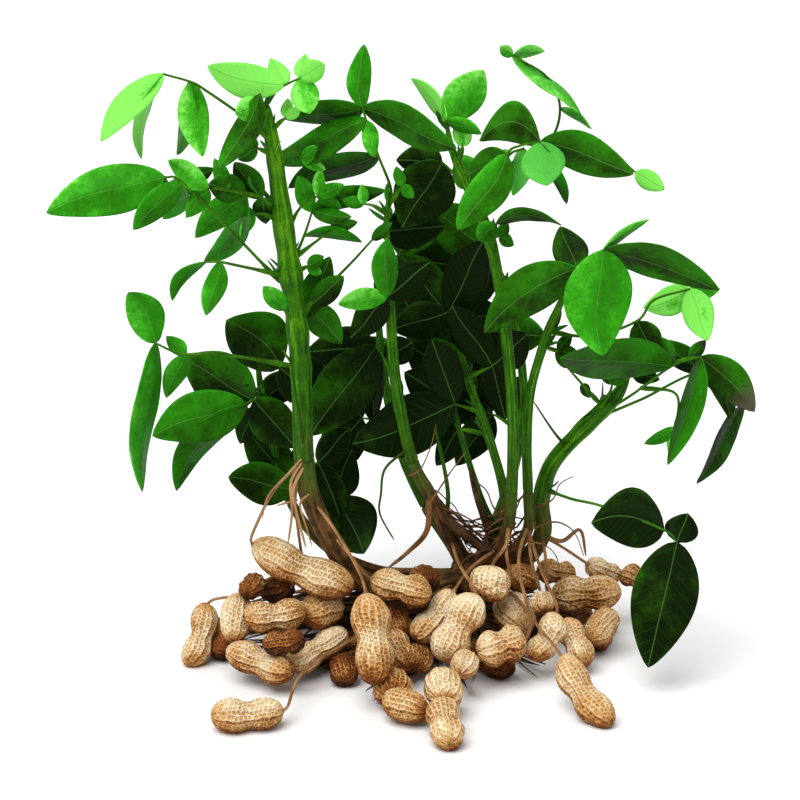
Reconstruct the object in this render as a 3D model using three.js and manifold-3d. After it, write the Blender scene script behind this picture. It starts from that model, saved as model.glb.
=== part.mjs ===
// An uprooted peanut plant, in millimetres with +Z up: a root crown with its pegs, leafy stems
// and the pods. It stands on the pods, and its origin is in the middle of its plan, on the ground.
//
// Places on the plant are written as they are seen from the front: x and y in the picture's
// pixels and the depth in millimetres, where a greater depth is further back. The function seen()
// turns them into millimetres.
import * as THREE from 'three';
import { mergeVertices } from 'three/addons/utils/BufferGeometryUtils.js';
import Module from 'manifold-3d';

const wasm = await Module();
wasm.setup();

// The view that the places are written in
const MM_PER_PIXEL = 0.5;
const VIEW_REACH = 1200;
const VIEW_DOWN = THREE.MathUtils.degToRad(18);
const AIM_HEIGHT = 145;
const PICTURE_CENTRE = 400;

// Middle of the plant's plan in the view's frame, which becomes the origin
const PLAN_CENTRE = { x: 4.4, y: 11.2 };

// Gap between solids that touch each other
const NODE_GAP = 0.3;

// Edges shorter than this are closed up after joining
const SMALLEST_EDGE = 0.2;

// Leaflets
const BLADE_THICKNESS = 0.75;
const BLADE_SLENDERNESS = 0.42;
const BLADE_FOLD = 0.2;
const BLADE_ARCH = 0.07;
const BLADE_SUNK = 0.4;
const SMALL_BLADE = 50;
const BLADE_CLEARANCE = 4.4;
const LEAN_STEP = 5;
const LEAN_TRIES = 9;

// Petioles
const PETIOLE_RADIUS = { foot: 1.35, end: 0.95 };
const PETIOLE_SIDES = 3;
const PETIOLE_CLEARANCE = 3;
const STIPULE = { length: 15, radius: 2.3, flatness: 0.4 };
const STIPULED = ['stem_left', 'stem_far_right'];

// Stems
const STEM_SIDES = 7;
const RINGS_PER_SPAN = 1;

// Root crown
const CROWN_HEAD = { at: [470, 574, 42], radius: 10.5, height: 24 };
const TAPROOT = { top: 7, tip: 2.2, foot: 1.5 };

// Pegs
const PEG_RADIUS = 0.85;
const PEG_SIDES = 3;
const PEG_GAP = 0.65;
const PEG_ROOM = 2;
const PEG_PULL = 0.1;
const PEG_ROUNDS = 100;

// Pods
const BIG_POD = { sides: 12, rings: 7 };
const TWO_SEED_POD = { sides: 10, rings: 6 };
const ONE_SEED_POD = { sides: 8, rings: 6 };
const BIG_POD_RADIUS = 9;
const POD_PLUMP = 1.12;
const POD_SUNK = 1.1;
const POD_RIDGE = 0.05;
const POD_NET = 0.035;
const POD_WAIST = 0.2;
const CHAIN_LINKS = 9;
const POD_BLUNTNESS = 1.4;
const POD_CLEARANCE = 0.9;
const POD_NEAR = 1.3;
const POD_TOUCH = 0.5;
const POD_STEP = 0.5;
const POD_TRIES = 140;
const POD_DRIFT = 0.05;
const GATHER_STEP = 0.3;
const GATHER_REACH = 9;
const HIDDEN_REACH = 40;
const LYING_STEP = 0.25;
const LYING_REACH = 100;

// Stems, foot first. Up to the point numbered green the stem is brown and part of the crown.
const STEMS = [
  { name: 'stem_left', foot: 5.4, top: 4.6, green: 4, route: [[470, 574, 42], [400, 592, 24],
    [350, 570, 10], [313, 505, 0], [304, 458, -4], [301, 370, -6], [294, 300, -6], [284, 230, -4],
    [275, 160, 0], [266, 104, 2]] },
  { name: 'stem_left_back', foot: 3.4, top: 2, green: 4, route: [[470, 574, 42], [425, 574, 48],
    [375, 570, 48], [325, 545, 46], [290, 500, 46], [272, 440, 46], [262, 395, 44],
    [256, 350, 42]] },
  { name: 'stem_centre_left', foot: 4.6, top: 2.2, green: 4, route: [[470, 574, 42], [452, 540, 34],
    [440, 515, 28], [428, 492, 24], [412, 460, 20], [396, 385, 16], [390, 300, 14],
    [386, 205, 16]] },
  { name: 'stem_centre', foot: 3, top: 1.8, green: 2, route: [[470, 574, 42], [500, 535, 36],
    [504, 495, 34], [490, 440, 36], [470, 385, 40], [452, 320, 44]] },
  { name: 'stem_centre_right', foot: 3.2, top: 2.4, green: 3, route: [[470, 574, 42], [496, 550, 30],
    [508, 525, 18], [512, 490, 8], [513, 415, 0], [507, 340, -2], [497, 270, 0], [487, 230, 2],
    [472, 195, 4], [453, 152, 6], [447, 126, 6]] },
  { name: 'stem_right', foot: 3.4, top: 2.2, green: 3, route: [[470, 574, 42], [510, 552, 38],
    [528, 528, 30], [528, 490, 20], [527, 443, 12], [531, 390, 2], [547, 335, -8],
    [562, 300, -16], [575, 270, -24]] },
  { name: 'stem_far_right', foot: 5.4, top: 4.2, green: 3, route: [[470, 574, 42], [520, 562, 44],
    [542, 535, 40], [541, 500, 34], [552, 464, 28], [582, 430, 22], [614, 399, 16],
    [628, 376, 12]] },
  { name: 'stem_back_left', foot: 3.2, top: 2, green: 2, route: [[470, 574, 42], [448, 540, 62],
    [425, 505, 74], [402, 455, 84], [388, 400, 90], [380, 340, 94], [376, 280, 96]] },
  { name: 'stem_back_right', foot: 3.2, top: 2, green: 2, route: [[470, 574, 42], [486, 545, 62],
    [500, 510, 74], [516, 460, 84], [524, 400, 90], [518, 340, 94], [506, 275, 96]] },
];

// Leaves. The route runs from inside the stem along the petiole and the rachis. Each leaflet
// holds the number of the route's point it grows from, its tip, its width as seen, how much
// deeper its tip lies than its foot, in millimetres, and how far it bows sideways, in pixels.
const LEAVES = [
  { stem: 'stem_right', route: [[572, 278, -22], [577, 268, -30], [603, 250, -38]],
    leaflets: [[2, 602, 356, 65, -8, -5], [1, 484, 333, 46, 4, -7], [2, 719, 290, 32, 8, -3],
      [1, 560, 226, 34, 16, 0], [2, 649, 219, 9, 4, -2]] },
  { stem: 'stem_left', route: [[280, 282, -5], [232, 232, -16], [182, 182, -26], [165, 177, -28]],
    leaflets: [[3, 46, 213, 48, -4, -6], [2, 133, 230, 26, -14, 0], [2, 214, 168, 18, 12, 0],
      [3, 143, 198, 28, 16, 0], [2, 163, 219, 26, 8, 0]] },
  { stem: 'stem_left', route: [[276, 208, -2], [262, 198, -12], [246, 192, -16]],
    leaflets: [[2, 208, 184, 28, -4, 0], [2, 195, 238, 30, 8, 0], [2, 204, 262, 24, 14, 4],
      [1, 234, 162, 26, -6, 0], [1, 266, 224, 22, 8, 0]] },
  { stem: 'stem_left', route: [[294, 366, -6], [220, 354, -20], [182, 354, -26], [155, 343, -28]],
    leaflets: [[3, 128, 292, 36, -10, -5], [3, 142, 492, 24, -12, 8], [3, 160, 306, 14, 10, 0]] },
  { stem: 'stem_left', route: [[269, 140, 0], [248, 120, -8], [205, 90, -16], [191, 82, -18],
    [163, 74, -20]], leaflets: [[4, 101, 142, 27, -12, -10], [3, 203, 157, 30, -6, -3],
      [3, 177, 155, 17, 10, -3], [4, 141, 159, 12, 8, -2]] },
  { stem: 'stem_left', route: [[264, 108, 2], [275, 92, -4], [285, 85, -8], [300, 78, -8]],
    leaflets: [[2, 207, 66, 34, -8, 5], [3, 325, 64, 22, -10, 0], [3, 310, 114, 28, -14, 0],
      [2, 270, 58, 20, 14, 0], [3, 306, 54, 16, 14, 0]] },
  { stem: 'stem_left', route: [[267, 124, 0], [263, 104, -10], [260, 94, -14]],
    leaflets: [[2, 218, 170, 26, -10, 0], [1, 235, 114, 24, 4, 0]] },
  { stem: 'stem_left', route: [[286, 276, -5], [240, 266, -22], [220, 262, -28], [205, 262, -30]],
    leaflets: [[2, 206, 316, 22, -10, 0], [3, 172, 301, 13, 6, -4]] },
  { stem: 'stem_left', route: [[296, 330, -6], [286, 310, -14]],
    leaflets: [[1, 263, 286, 19, -6, 0]] },
  { stem: 'stem_left', route: [[289, 272, -5], [304, 236, 4], [312, 212, 8]],
    leaflets: [[2, 386, 190, 22, 4, 0], [2, 298, 176, 20, -8, 0], [1, 362, 242, 12, 10, 2],
      [2, 352, 217, 16, -4, 0]] },
  { stem: 'stem_left', route: [[295, 334, -6], [304, 318, 0], [310, 306, 2]],
    leaflets: [[1, 330, 256, 30, 6, 0], [2, 342, 344, 32, 8, 0], [2, 344, 276, 24, -8, 0]] },
  { stem: 'stem_centre_left', route: [[387, 212, 16], [391, 190, 12], [378, 155, 4],
    [366, 120, -4], [363, 108, -6]], leaflets: [[4, 457, 148, 34, -14, -4], [4, 364, 44, 24, 6, 6],
      [3, 268, 162, 32, -10, -3], [4, 284, 119, 26, 12, 5], [3, 375, 158, 17, -10, 0],
      [2, 288, 188, 28, 18, 4]] },
  { stem: 'stem_centre_right', route: [[448, 130, 6], [446, 121, 2]],
    leaflets: [[1, 484, 70, 38, -10, 0], [1, 411, 78, 15, 12, 0], [1, 482, 134, 14, -12, 0]] },
  { stem: 'stem_centre_right', route: [[484, 222, 3], [489, 188, -10], [507, 154, -20],
    [519, 146, -24], [540, 142, -26]], leaflets: [[4, 634, 174, 38, -4, 1],
      [4, 547, 186, 42, -12, 0], [4, 479, 141, 40, 12, -19], [2, 457, 230, 37, -14, 4],
      [4, 567, 204, 14, 14, -5], [2, 466, 176, 30, 16, 0]] },
  { stem: 'stem_centre_right', route: [[474, 202, 4], [504, 168, 24], [548, 142, 30],
    [560, 108, 28], [546, 76, 24], [512, 56, 22]], leaflets: [[5, 545, 51, 12, 12, 0],
      [5, 581, 115, 13, -8, 9], [3, 592, 129, 8, -12, 0], [5, 500, 46, 12, -6, 0]] },
  { stem: 'stem_centre_right', route: [[476, 206, 4], [512, 176, 36], [556, 150, 40],
    [604, 148, 30], [635, 172, 18]], leaflets: [[4, 665, 190, 20, -4, 0]] },
  { stem: 'stem_centre_right', route: [[489, 242, 2], [496, 224, -8]],
    leaflets: [[1, 562, 225, 13, -14, 5], [1, 478, 240, 22, -12, 0]] },
  { stem: 'stem_right', route: [[549, 332, -8], [592, 336, 6], [637, 321, 10], [654, 300, 10],
    [690, 289, 8]], leaflets: [[4, 708, 341, 32, -8, 0], [4, 643, 308, 30, 8, 4],
      [4, 720, 289, 24, 14, 0], [2, 656, 358, 32, -10, 0]] },
  { stem: 'stem_far_right', route: [[582, 425, 22], [630, 396, 8], [672, 366, 0], [700, 357, -4]],
    leaflets: [[3, 755, 412, 38, -8, 4], [2, 560, 358, 42, 10, 6], [3, 668, 465, 24, -16, -3],
      [2, 646, 336, 30, 14, 0]] },
  { stem: 'stem_far_right', route: [[583, 424, 22], [640, 400, 26], [705, 372, 28],
    [744, 404, 26]], leaflets: [[3, 697, 484, 20, -6, -5], [2, 652, 340, 26, 10, 0]] },
  { stem: 'stem_far_right', route: [[620, 388, 14], [632, 372, 10]],
    leaflets: [[1, 602, 370, 18, -10, 0], [1, 660, 380, 18, -10, 0]] },
  { stem: 'stem_far_right', route: [[547, 490, 33], [572, 499, 14], [605, 507, -8],
    [664, 530, -26], [677, 542, -30]], leaflets: [[4, 648, 668, 66, -10, 0],
      [3, 591, 523, 60, 8, -10], [4, 688, 513, 34, 6, 0]] },
  { stem: 'stem_left_back', route: [[263, 402, 45], [254, 400, 34], [246, 404, 28]],
    leaflets: [[2, 152, 436, 54, -12, -3], [2, 176, 491, 32, 8, -4], [1, 182, 358, 60, 10, 0],
      [1, 296, 448, 44, -6, 0], [0, 298, 370, 34, 4, 0]] },
  { stem: 'stem_left_back', route: [[258, 370, 43], [280, 368, 34]],
    leaflets: [[1, 226, 320, 62, -6, -8], [1, 318, 404, 40, 8, 0]] },
  { stem: 'stem_left_back', route: [[284, 480, 46], [295, 489, 36]],
    leaflets: [[1, 228, 477, 44, -12, 0], [1, 244, 426, 44, 10, 0]] },
  { stem: 'stem_left_back', route: [[286, 489, 46], [318, 490, 38], [332, 498, 34]],
    leaflets: [[2, 364, 554, 60, -12, 4], [2, 352, 450, 40, 10, 0]] },
  { stem: 'stem_centre_left', route: [[399, 400, 17], [385, 360, 26], [376, 346, 30]],
    leaflets: [[2, 310, 436, 60, -8, 0], [2, 374, 424, 30, 6, 0], [2, 306, 352, 46, 10, 0], [1, 412, 342, 30, -14, 0]] },
  { stem: 'stem_centre_left', route: [[390, 306, 14], [387, 297, 4]],
    leaflets: [[1, 387, 238, 26, -10, 0], [1, 338, 304, 22, -10, 0], [1, 350, 338, 34, 10, 0], [1, 430, 262, 36, 10, 0]] },
  { stem: 'stem_centre_left', route: [[387, 222, 16], [380, 232, 22]],
    leaflets: [[1, 446, 226, 40, 8, 0]] },
  { stem: 'stem_centre', route: [[480, 412, 38], [455, 404, 30]],
    leaflets: [[1, 352, 444, 62, -6, 4], [1, 404, 372, 46, 14, 0], [1, 432, 340, 40, -12, 0]] },
  { stem: 'stem_centre', route: [[453, 326, 44], [448, 312, 38]],
    leaflets: [[1, 398, 254, 46, 8, 0], [1, 484, 240, 46, -10, 0], [1, 392, 330, 40, -12, 0],
      [1, 508, 320, 40, 12, 0]] },
  { stem: 'stem_centre', route: [[467, 378, 40], [492, 366, 34]],
    leaflets: [[1, 528, 334, 40, -6, 0], [1, 506, 420, 34, 10, 0], [1, 452, 306, 40, -14, 0]] },
  { stem: 'stem_centre_right', route: [[473, 197, 4], [452, 172, 18], [442, 162, 22]],
    leaflets: [[2, 402, 228, 60, 6, 0], [2, 396, 160, 36, 12, 0], [1, 486, 172, 34, 12, 0]] },
  { stem: 'stem_back_left', route: [[377, 292, 95], [392, 266, 90], [398, 254, 88]],
    leaflets: [[2, 446, 176, 56, 4, 0], [2, 476, 272, 50, 6, 0], [1, 418, 334, 48, -8, 0]] },
  { stem: 'stem_back_left', route: [[383, 360, 92], [400, 348, 100], [408, 344, 102]],
    leaflets: [[2, 470, 300, 50, 10, 0], [2, 478, 388, 52, -6, 0], [1, 314, 384, 54, 12, 0]] },
  { stem: 'stem_back_left', route: [[396, 430, 87], [372, 420, 96], [362, 418, 98]],
    leaflets: [[2, 312, 346, 54, 6, 0], [2, 318, 474, 50, -4, 0], [1, 434, 436, 44, 12, 0]] },
  { stem: 'stem_back_right', route: [[508, 288, 96], [496, 262, 90], [492, 254, 88]],
    leaflets: [[2, 430, 206, 54, 6, 0], [1, 446, 306, 50, -8, 0]] },
  { stem: 'stem_back_right', route: [[520, 360, 93], [508, 340, 100], [502, 332, 102]],
    leaflets: [[2, 430, 330, 54, 6, 0], [2, 546, 336, 40, -6, 0], [1, 452, 400, 48, 12, 0]] },
  { stem: 'stem_back_right', route: [[521, 432, 88], [500, 418, 96], [492, 414, 98]],
    leaflets: [[2, 430, 380, 52, 6, 0], [2, 456, 466, 38, -4, 0], [1, 520, 376, 34, 12, 0]] },
];

// Pods in front: the end on the peg, the other end, the width, the depth and how much deeper the
// other end lies, then the number of seeds and the sideways bow. Each slides back from its depth.
const PODS = [
  { name: 'pod_far_right_back', from: [622, 573], to: [652, 590], width: 24, depth: 50, lean: -8,
    seeds: 2, bow: 3 },
  { name: 'pod_far_right', from: [588, 564], to: [620, 577], width: 22, depth: 48, lean: 14,
    seeds: 2, bow: 0 },
  { name: 'pod_behind_right', from: [538, 568], to: [574, 576], width: 28, depth: 44, lean: 8,
    seeds: 2, bow: 0 },
  { name: 'pod_behind_centre', from: [510, 570], to: [536, 582], width: 26, depth: 24, lean: 10,
    seeds: 1, bow: 0 },
  { name: 'pod_dark_left', from: [291, 588], to: [263, 592], width: 24, depth: 6, lean: 18,
    seeds: 1, bow: 0 },
  { name: 'pod_brown_left', from: [256, 578], to: [247, 592], width: 22, depth: 2, lean: -20,
    seeds: 2, bow: 0 },
  { name: 'pod_deep_centre', from: [418, 572], to: [434, 582], width: 24, depth: 8, lean: -18,
    seeds: 1, bow: 0 },
  { name: 'pod_dark_centre', from: [390, 602], to: [404, 640], width: 28, depth: -4, lean: -14,
    seeds: 2, bow: 0 },
  { name: 'pod_dark_left_low', from: [304, 636], to: [264, 642], width: 26, depth: 0, lean: 8,
    seeds: 2, bow: 0 },
  { name: 'pod_small_brown_left', from: [284, 634], to: [287, 654], width: 22, depth: -12,
    lean: -16, seeds: 1, bow: 0 },
  { name: 'pod_brown_centre', from: [388, 632], to: [412, 669], width: 28, depth: -16, lean: -18,
    seeds: 2, bow: 0 },
  { name: 'pod_dark_low', from: [352, 660], to: [358, 690], width: 26, depth: -28, lean: -14,
    seeds: 1, bow: 0 },
  { name: 'pod_small_brown', from: [416, 652], to: [422, 674], width: 24, depth: -24, lean: -18,
    seeds: 1, bow: 0 },
  { name: 'pod_left_low', from: [230, 654], to: [296, 678], width: 30, depth: -34, lean: -22,
    seeds: 2, bow: -3 },
  { name: 'pod_left_low_right', from: [348, 634], to: [289, 669], width: 28, depth: -14,
    lean: -18, seeds: 2, bow: 2 },
  { name: 'pod_left_end', from: [237, 594], to: [230, 642], width: 26, depth: -6, lean: -16,
    seeds: 1, bow: 0 },
  { name: 'pod_far_left', from: [207, 602], to: [187, 665], width: 28, depth: -8, lean: -18,
    seeds: 2, bow: 4 },
  { name: 'pod_left_middle', from: [301, 612], to: [237, 619], width: 32, depth: -10, lean: -6,
    seeds: 2, bow: 2 },
  { name: 'pod_left_round', from: [340, 606], to: [304, 619], width: 33, depth: -10, lean: -18,
    seeds: 1, bow: 0 },
  { name: 'pod_big_left', from: [252, 545], to: [353, 591], width: 38, depth: -12, lean: -8,
    seeds: 2, bow: -2 },
  { name: 'pod_centre_back', from: [371, 580], to: [432, 598], width: 31, depth: -6, lean: -10,
    seeds: 2, bow: 0 },
  { name: 'pod_upright_centre', from: [366, 592], to: [376, 684], width: 37, depth: -34,
    lean: -22, seeds: 2, bow: 2 },
  { name: 'pod_centre_lean', from: [454, 590], to: [414, 640], width: 30, depth: -8, lean: -16,
    seeds: 2, bow: 3 },
  { name: 'pod_round_top', from: [492, 566], to: [486, 600], width: 37, depth: -2, lean: -6,
    seeds: 1, bow: 0 },
  { name: 'pod_centre_front', from: [476, 596], to: [443, 663], width: 39, depth: -22,
    lean: -16, seeds: 2, bow: -2 },
  { name: 'pod_round_right', from: [506, 600], to: [524, 626], width: 36, depth: 0, lean: -22,
    seeds: 1, bow: 0 },
  { name: 'pod_small_right', from: [541, 592], to: [545, 613], width: 20, depth: 4, lean: -10,
    seeds: 1, bow: 0 },
  { name: 'pod_front_right', from: [526, 640], to: [477, 653], width: 35, depth: -18, lean: -8,
    seeds: 2, bow: 0 },
  { name: 'pod_small_light', from: [472, 654], to: [461, 676], width: 24, depth: -36, lean: -12,
    seeds: 1, bow: 0 },
  { name: 'pod_curved_right', from: [557, 614], to: [530, 660], width: 29, depth: -10,
    lean: -14, seeds: 2, bow: 5 },
  { name: 'pod_right_lower', from: [568, 618], to: [592, 666], width: 26, depth: -2, lean: -18,
    seeds: 2, bow: 0 },
  { name: 'pod_right_edge', from: [612, 612], to: [590, 640], width: 26, depth: 10, lean: -18,
    seeds: 1, bow: 0 },
  { name: 'pod_right', from: [552, 597], to: [621, 592], width: 36, depth: 6, lean: -6, seeds: 2,
    bow: 0 },
  { name: 'pod_front_far_right', from: [562, 657], to: [612, 724], width: 31, depth: -40,
    lean: -34, seeds: 2, bow: -4 },
  { name: 'pod_brown_front', from: [394, 682], to: [398, 702], width: 32, depth: -54, lean: -20,
    seeds: 1, bow: 0 },
  { name: 'pod_round_front', from: [443, 678], to: [446, 704], width: 35, depth: -52, lean: -22,
    seeds: 1, bow: 0 },
  { name: 'pod_front', from: [384, 702], to: [428, 712], width: 28, depth: -72, lean: -10,
    seeds: 1, bow: 0 },
  { name: 'pod_front_end', from: [440, 710], to: [449, 752], width: 32, depth: -92, lean: -30,
    seeds: 2, bow: 0 },
  { name: 'pod_front_left', from: [284, 712], to: [211, 717], width: 32, depth: -80, lean: -6,
    seeds: 2, bow: 2 },
];

// Pods hidden behind and under the others, on the ground: middle, heading in degrees, length
// and width
const GROUND_PODS = [
  { name: 'pod_back_1', x: -62, y: 58, heading: 200, length: 42, width: 15, seeds: 2 },
  { name: 'pod_back_2', x: -24, y: 72, heading: 130, length: 44, width: 16, seeds: 2 },
  { name: 'pod_back_3', x: 12, y: 80, heading: 65, length: 40, width: 16, seeds: 2 },
  { name: 'pod_back_4', x: 48, y: 72, heading: 100, length: 44, width: 15, seeds: 2 },
  { name: 'pod_back_5', x: 84, y: 66, heading: 20, length: 38, width: 16, seeds: 2 },
  { name: 'pod_under_1', x: 106, y: 34, heading: 80, length: 40, width: 15, seeds: 2 },
  { name: 'pod_under_2', x: -84, y: 26, heading: 105, length: 42, width: 16, seeds: 2 },
  { name: 'pod_under_3', x: -30, y: 22, heading: 30, length: 42, width: 16, seeds: 2 },
  { name: 'pod_under_4', x: 72, y: 22, heading: 130, length: 40, width: 16, seeds: 2 },
];

// Pods of the front that lie on the ground
const LYING_PODS = ['pod_front_left', 'pod_front_end', 'pod_front_far_right', 'pod_far_left',
  'pod_dark_low'];

// Pegs: where each leaves the root crown, where it runs, and the pod at its end
const PEGS = [
  { pod: 'pod_big_left', route: [[305, 462, -4], [284, 474, -12], [264, 500, -16],
    [258, 528, -16]] },
  { pod: 'pod_dark_left', route: [[305, 470, -4], [291, 486, -8], [296, 515, -2], [300, 545, 6]] },
  { pod: 'pod_upright_centre', route: [[312, 500, 0], [326, 516, -10], [344, 542, -16],
    [360, 572, -24]] },
  { pod: 'pod_centre_back', route: [[330, 532, 6], [346, 552, -6], [362, 566, -10]] },
  { pod: 'pod_centre_lean', route: [[496, 550, 30], [486, 556, 14], [466, 570, 4]] },
  { pod: 'pod_centre_front', route: [[452, 540, 34], [453, 555, 12], [466, 580, -6]] },
  { pod: 'pod_round_top', route: [[508, 525, 18], [512, 540, 4], [500, 556, -2]] },
  { pod: 'pod_round_right', route: [[508, 527, 18], [504, 550, 0], [503, 578, -6]] },
  { pod: 'pod_small_right', route: [[528, 528, 30], [529, 555, 10], [535, 578, 2]] },
  { pod: 'pod_front_right', route: [[528, 526, 30], [518, 548, 4], [514, 575, -14],
    [532, 606, -18]] },
  { pod: 'pod_curved_right', route: [[528, 528, 30], [536, 560, 8], [548, 588, -4]] },
  { pod: 'pod_right', route: [[542, 536, 40], [548, 560, 24], [546, 584, 6]] },
  { pod: 'pod_front_left', route: [[470, 574, 40], [425, 620, 0], [340, 676, -50],
    [298, 700, -72]] },
  { pod: 'pod_front_far_right', route: [[470, 574, 40], [520, 614, 10], [552, 642, -16]] },
  { pod: 'pod_far_left', route: [[470, 574, 42], [340, 590, 36], [232, 598, 12]] },
  { pod: 'pod_far_right', route: [[542, 536, 40], [562, 545, 46]] },
];

// Side roots that come out of the crown, thick end first
const SIDE_ROOTS = [
  { from: 1.5, to: 0.7, route: [[542, 535, 40], [562, 541, 38], [580, 530, 36], [586, 556, 36]] },
  { from: 1.8, to: 0.7, route: [[429, 494, 24], [427, 530, 14], [408, 552, 10], [388, 568, 6]] },
  { from: 3.4, to: 2.2, route: [[440, 515, 28], [462, 532, 22], [488, 552, 24]] },
  { from: 2.2, to: 1.2, route: [[496, 550, 30], [478, 500, 22], [470, 468, 20]] },
];

// Colours
const COLOURS = { leaf: 0x2f8a2b, pod: 0xc9995f, crown: 0x8a6238 };

const forward = new THREE.Vector3(0, Math.cos(VIEW_DOWN), -Math.sin(VIEW_DOWN));
const upward = new THREE.Vector3(0, Math.sin(VIEW_DOWN), Math.cos(VIEW_DOWN));
const eye = new THREE.Vector3(0, 0, AIM_HEIGHT).addScaledVector(forward, -VIEW_REACH);

// A point in millimetres from its place in the picture and its depth
function seen(x, y, depth) {
  const ray = forward.clone().addScaledVector(upward, (PICTURE_CENTRE - y) * MM_PER_PIXEL / VIEW_REACH);
  ray.x = (x - PICTURE_CENTRE) * MM_PER_PIXEL / VIEW_REACH;
  return eye.clone().addScaledVector(ray, (depth - eye.y) / ray.y);
}

function smoothCurve(points) {
  return new THREE.CatmullRomCurve3(points, false, 'catmullrom', 0.5);
}

// A closed solid from a three.js geometry, without its doubled vertices and empty triangles
function solidOf(geometry) {
  const bare = geometry.clone();
  bare.deleteAttribute('normal');
  bare.deleteAttribute('uv');
  const merged = mergeVertices(bare, 1e-4);
  const corners = merged.index.array;
  const kept = [];
  for (let i = 0; i < corners.length; i += 3) {
    const [a, b, c] = corners.slice(i, i + 3);
    if (a !== b && b !== c && c !== a) kept.push(a, b, c);
  }
  return new wasm.Manifold(new wasm.Mesh({
    numProp: 3,
    vertProperties: merged.attributes.position.array,
    triVerts: Uint32Array.from(kept),
  }));
}

// The largest body of a solid, as a geometry
function geometryOf(solid) {
  const bodies = solid.simplify(SMALLEST_EDGE).decompose();
  bodies.sort((a, b) => b.volume() - a.volume());
  const mesh = bodies[0].getMesh();
  const geometry = new THREE.BufferGeometry();
  geometry.setAttribute('position', new THREE.BufferAttribute(mesh.vertProperties, 3));
  geometry.setIndex(new THREE.BufferAttribute(mesh.triVerts, 1));
  geometry.computeVertexNormals();
  return geometry;
}

function fuse(solids) {
  return solids.reduce((whole, next) => whole.add(next));
}

// A cylinder bent along a stretch of a curve, with a radius that changes along it
function tubeSolid(curve, start, end, radiusAt, sides, steps) {
  const form = new THREE.CylinderGeometry(1, 1, 1, sides, steps);
  const rings = [];
  let across = new THREE.Vector3(0.3, 1, 0.2);
  for (let k = 0; k <= steps; k += 1) {
    const u = start + (end - start) * k / steps;
    const along = curve.getTangent(u);
    across = across.clone().addScaledVector(along, -across.dot(along)).normalize();
    const other = along.clone().cross(across);
    rings.push({ middle: curve.getPoint(u), across, other, radius: radiusAt(u) });
  }
  const position = form.attributes.position;
  for (let i = 0; i < position.count; i += 1) {
    const ring = rings[Math.round((0.5 - position.getY(i)) * steps)];
    const point = ring.middle.clone()
      .addScaledVector(ring.across, position.getX(i) * ring.radius)
      .addScaledVector(ring.other, position.getZ(i) * ring.radius);
    position.setXYZ(i, point.x, point.y, point.z);
  }
  return solidOf(form);
}

// Stems
function stemCurve(stem) {
  return smoothCurve(stem.route.map((place) => seen(...place)));
}

function stemRadius(stem) {
  return (u) => stem.foot + (stem.top - stem.foot) * u;
}

// How far along the route the green part begins, from 0 to 1
function greenStart(stem) {
  return stem.green / (stem.route.length - 1);
}

function gapAlong(curve, u) {
  const ahead = curve.getPoint(u + 0.001).distanceTo(curve.getPoint(u));
  return 0.001 * (NODE_GAP / 2) / ahead;
}

function greenStem(stem) {
  const curve = stemCurve(stem);
  const start = greenStart(stem);
  const spans = stem.route.length - 1 - stem.green;
  return tubeSolid(curve, start + gapAlong(curve, start), 1, stemRadius(stem), STEM_SIDES,
    spans * RINGS_PER_SPAN);
}

function brownStem(stem) {
  const curve = stemCurve(stem);
  const end = greenStart(stem);
  return tubeSolid(curve, 0, end - gapAlong(curve, end), stemRadius(stem), STEM_SIDES,
    stem.green * RINGS_PER_SPAN);
}

// Leaflets. Half the width of a blade along its length, where the widest is 1
function bladeOutline(t) {
  return Math.sin(Math.PI * t ** 0.85) ** 0.75;
}

// Where a leaflet lies: its foot, its tip and the two directions across it
function bladePose(foot, leaflet, footDepth, lean, turn) {
  const [, tipX, tipY, width, , bow] = leaflet;
  const tip = seen(tipX, tipY, footDepth + lean);
  const along = tip.clone().sub(foot);
  const length = along.length();
  along.normalize();
  const sight = foot.clone().sub(eye).normalize();
  const level = along.clone().cross(sight).normalize();
  const facing = level.clone().cross(along).normalize();
  const seenWidth = width * MM_PER_PIXEL;
  const trueWidth = Math.max(seenWidth, BLADE_SLENDERNESS * length);
  const roll = Math.acos(seenWidth / trueWidth) * turn;
  const side = level.clone().multiplyScalar(Math.cos(roll)).addScaledVector(facing, Math.sin(roll));
  const face = facing.clone().multiplyScalar(Math.cos(roll)).addScaledVector(level, -Math.sin(roll));
  return { foot, along, level, side, face, length, halfWidth: trueWidth / 2,
    bow: bow * MM_PER_PIXEL };
}

// A point of a blade, from 0 to 1 along it and from -1 to 1 across it
function bladePoint(pose, t, across) {
  const hump = 4 * t * (1 - t);
  const reach = pose.halfWidth * bladeOutline(t) * across;
  return pose.foot.clone()
    .addScaledVector(pose.along, pose.length * t - BLADE_SUNK * (1 - t))
    .addScaledVector(pose.level, pose.bow * hump)
    .addScaledVector(pose.side, reach)
    .addScaledVector(pose.face, pose.length * BLADE_ARCH * hump + BLADE_FOLD * Math.abs(reach));
}

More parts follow.
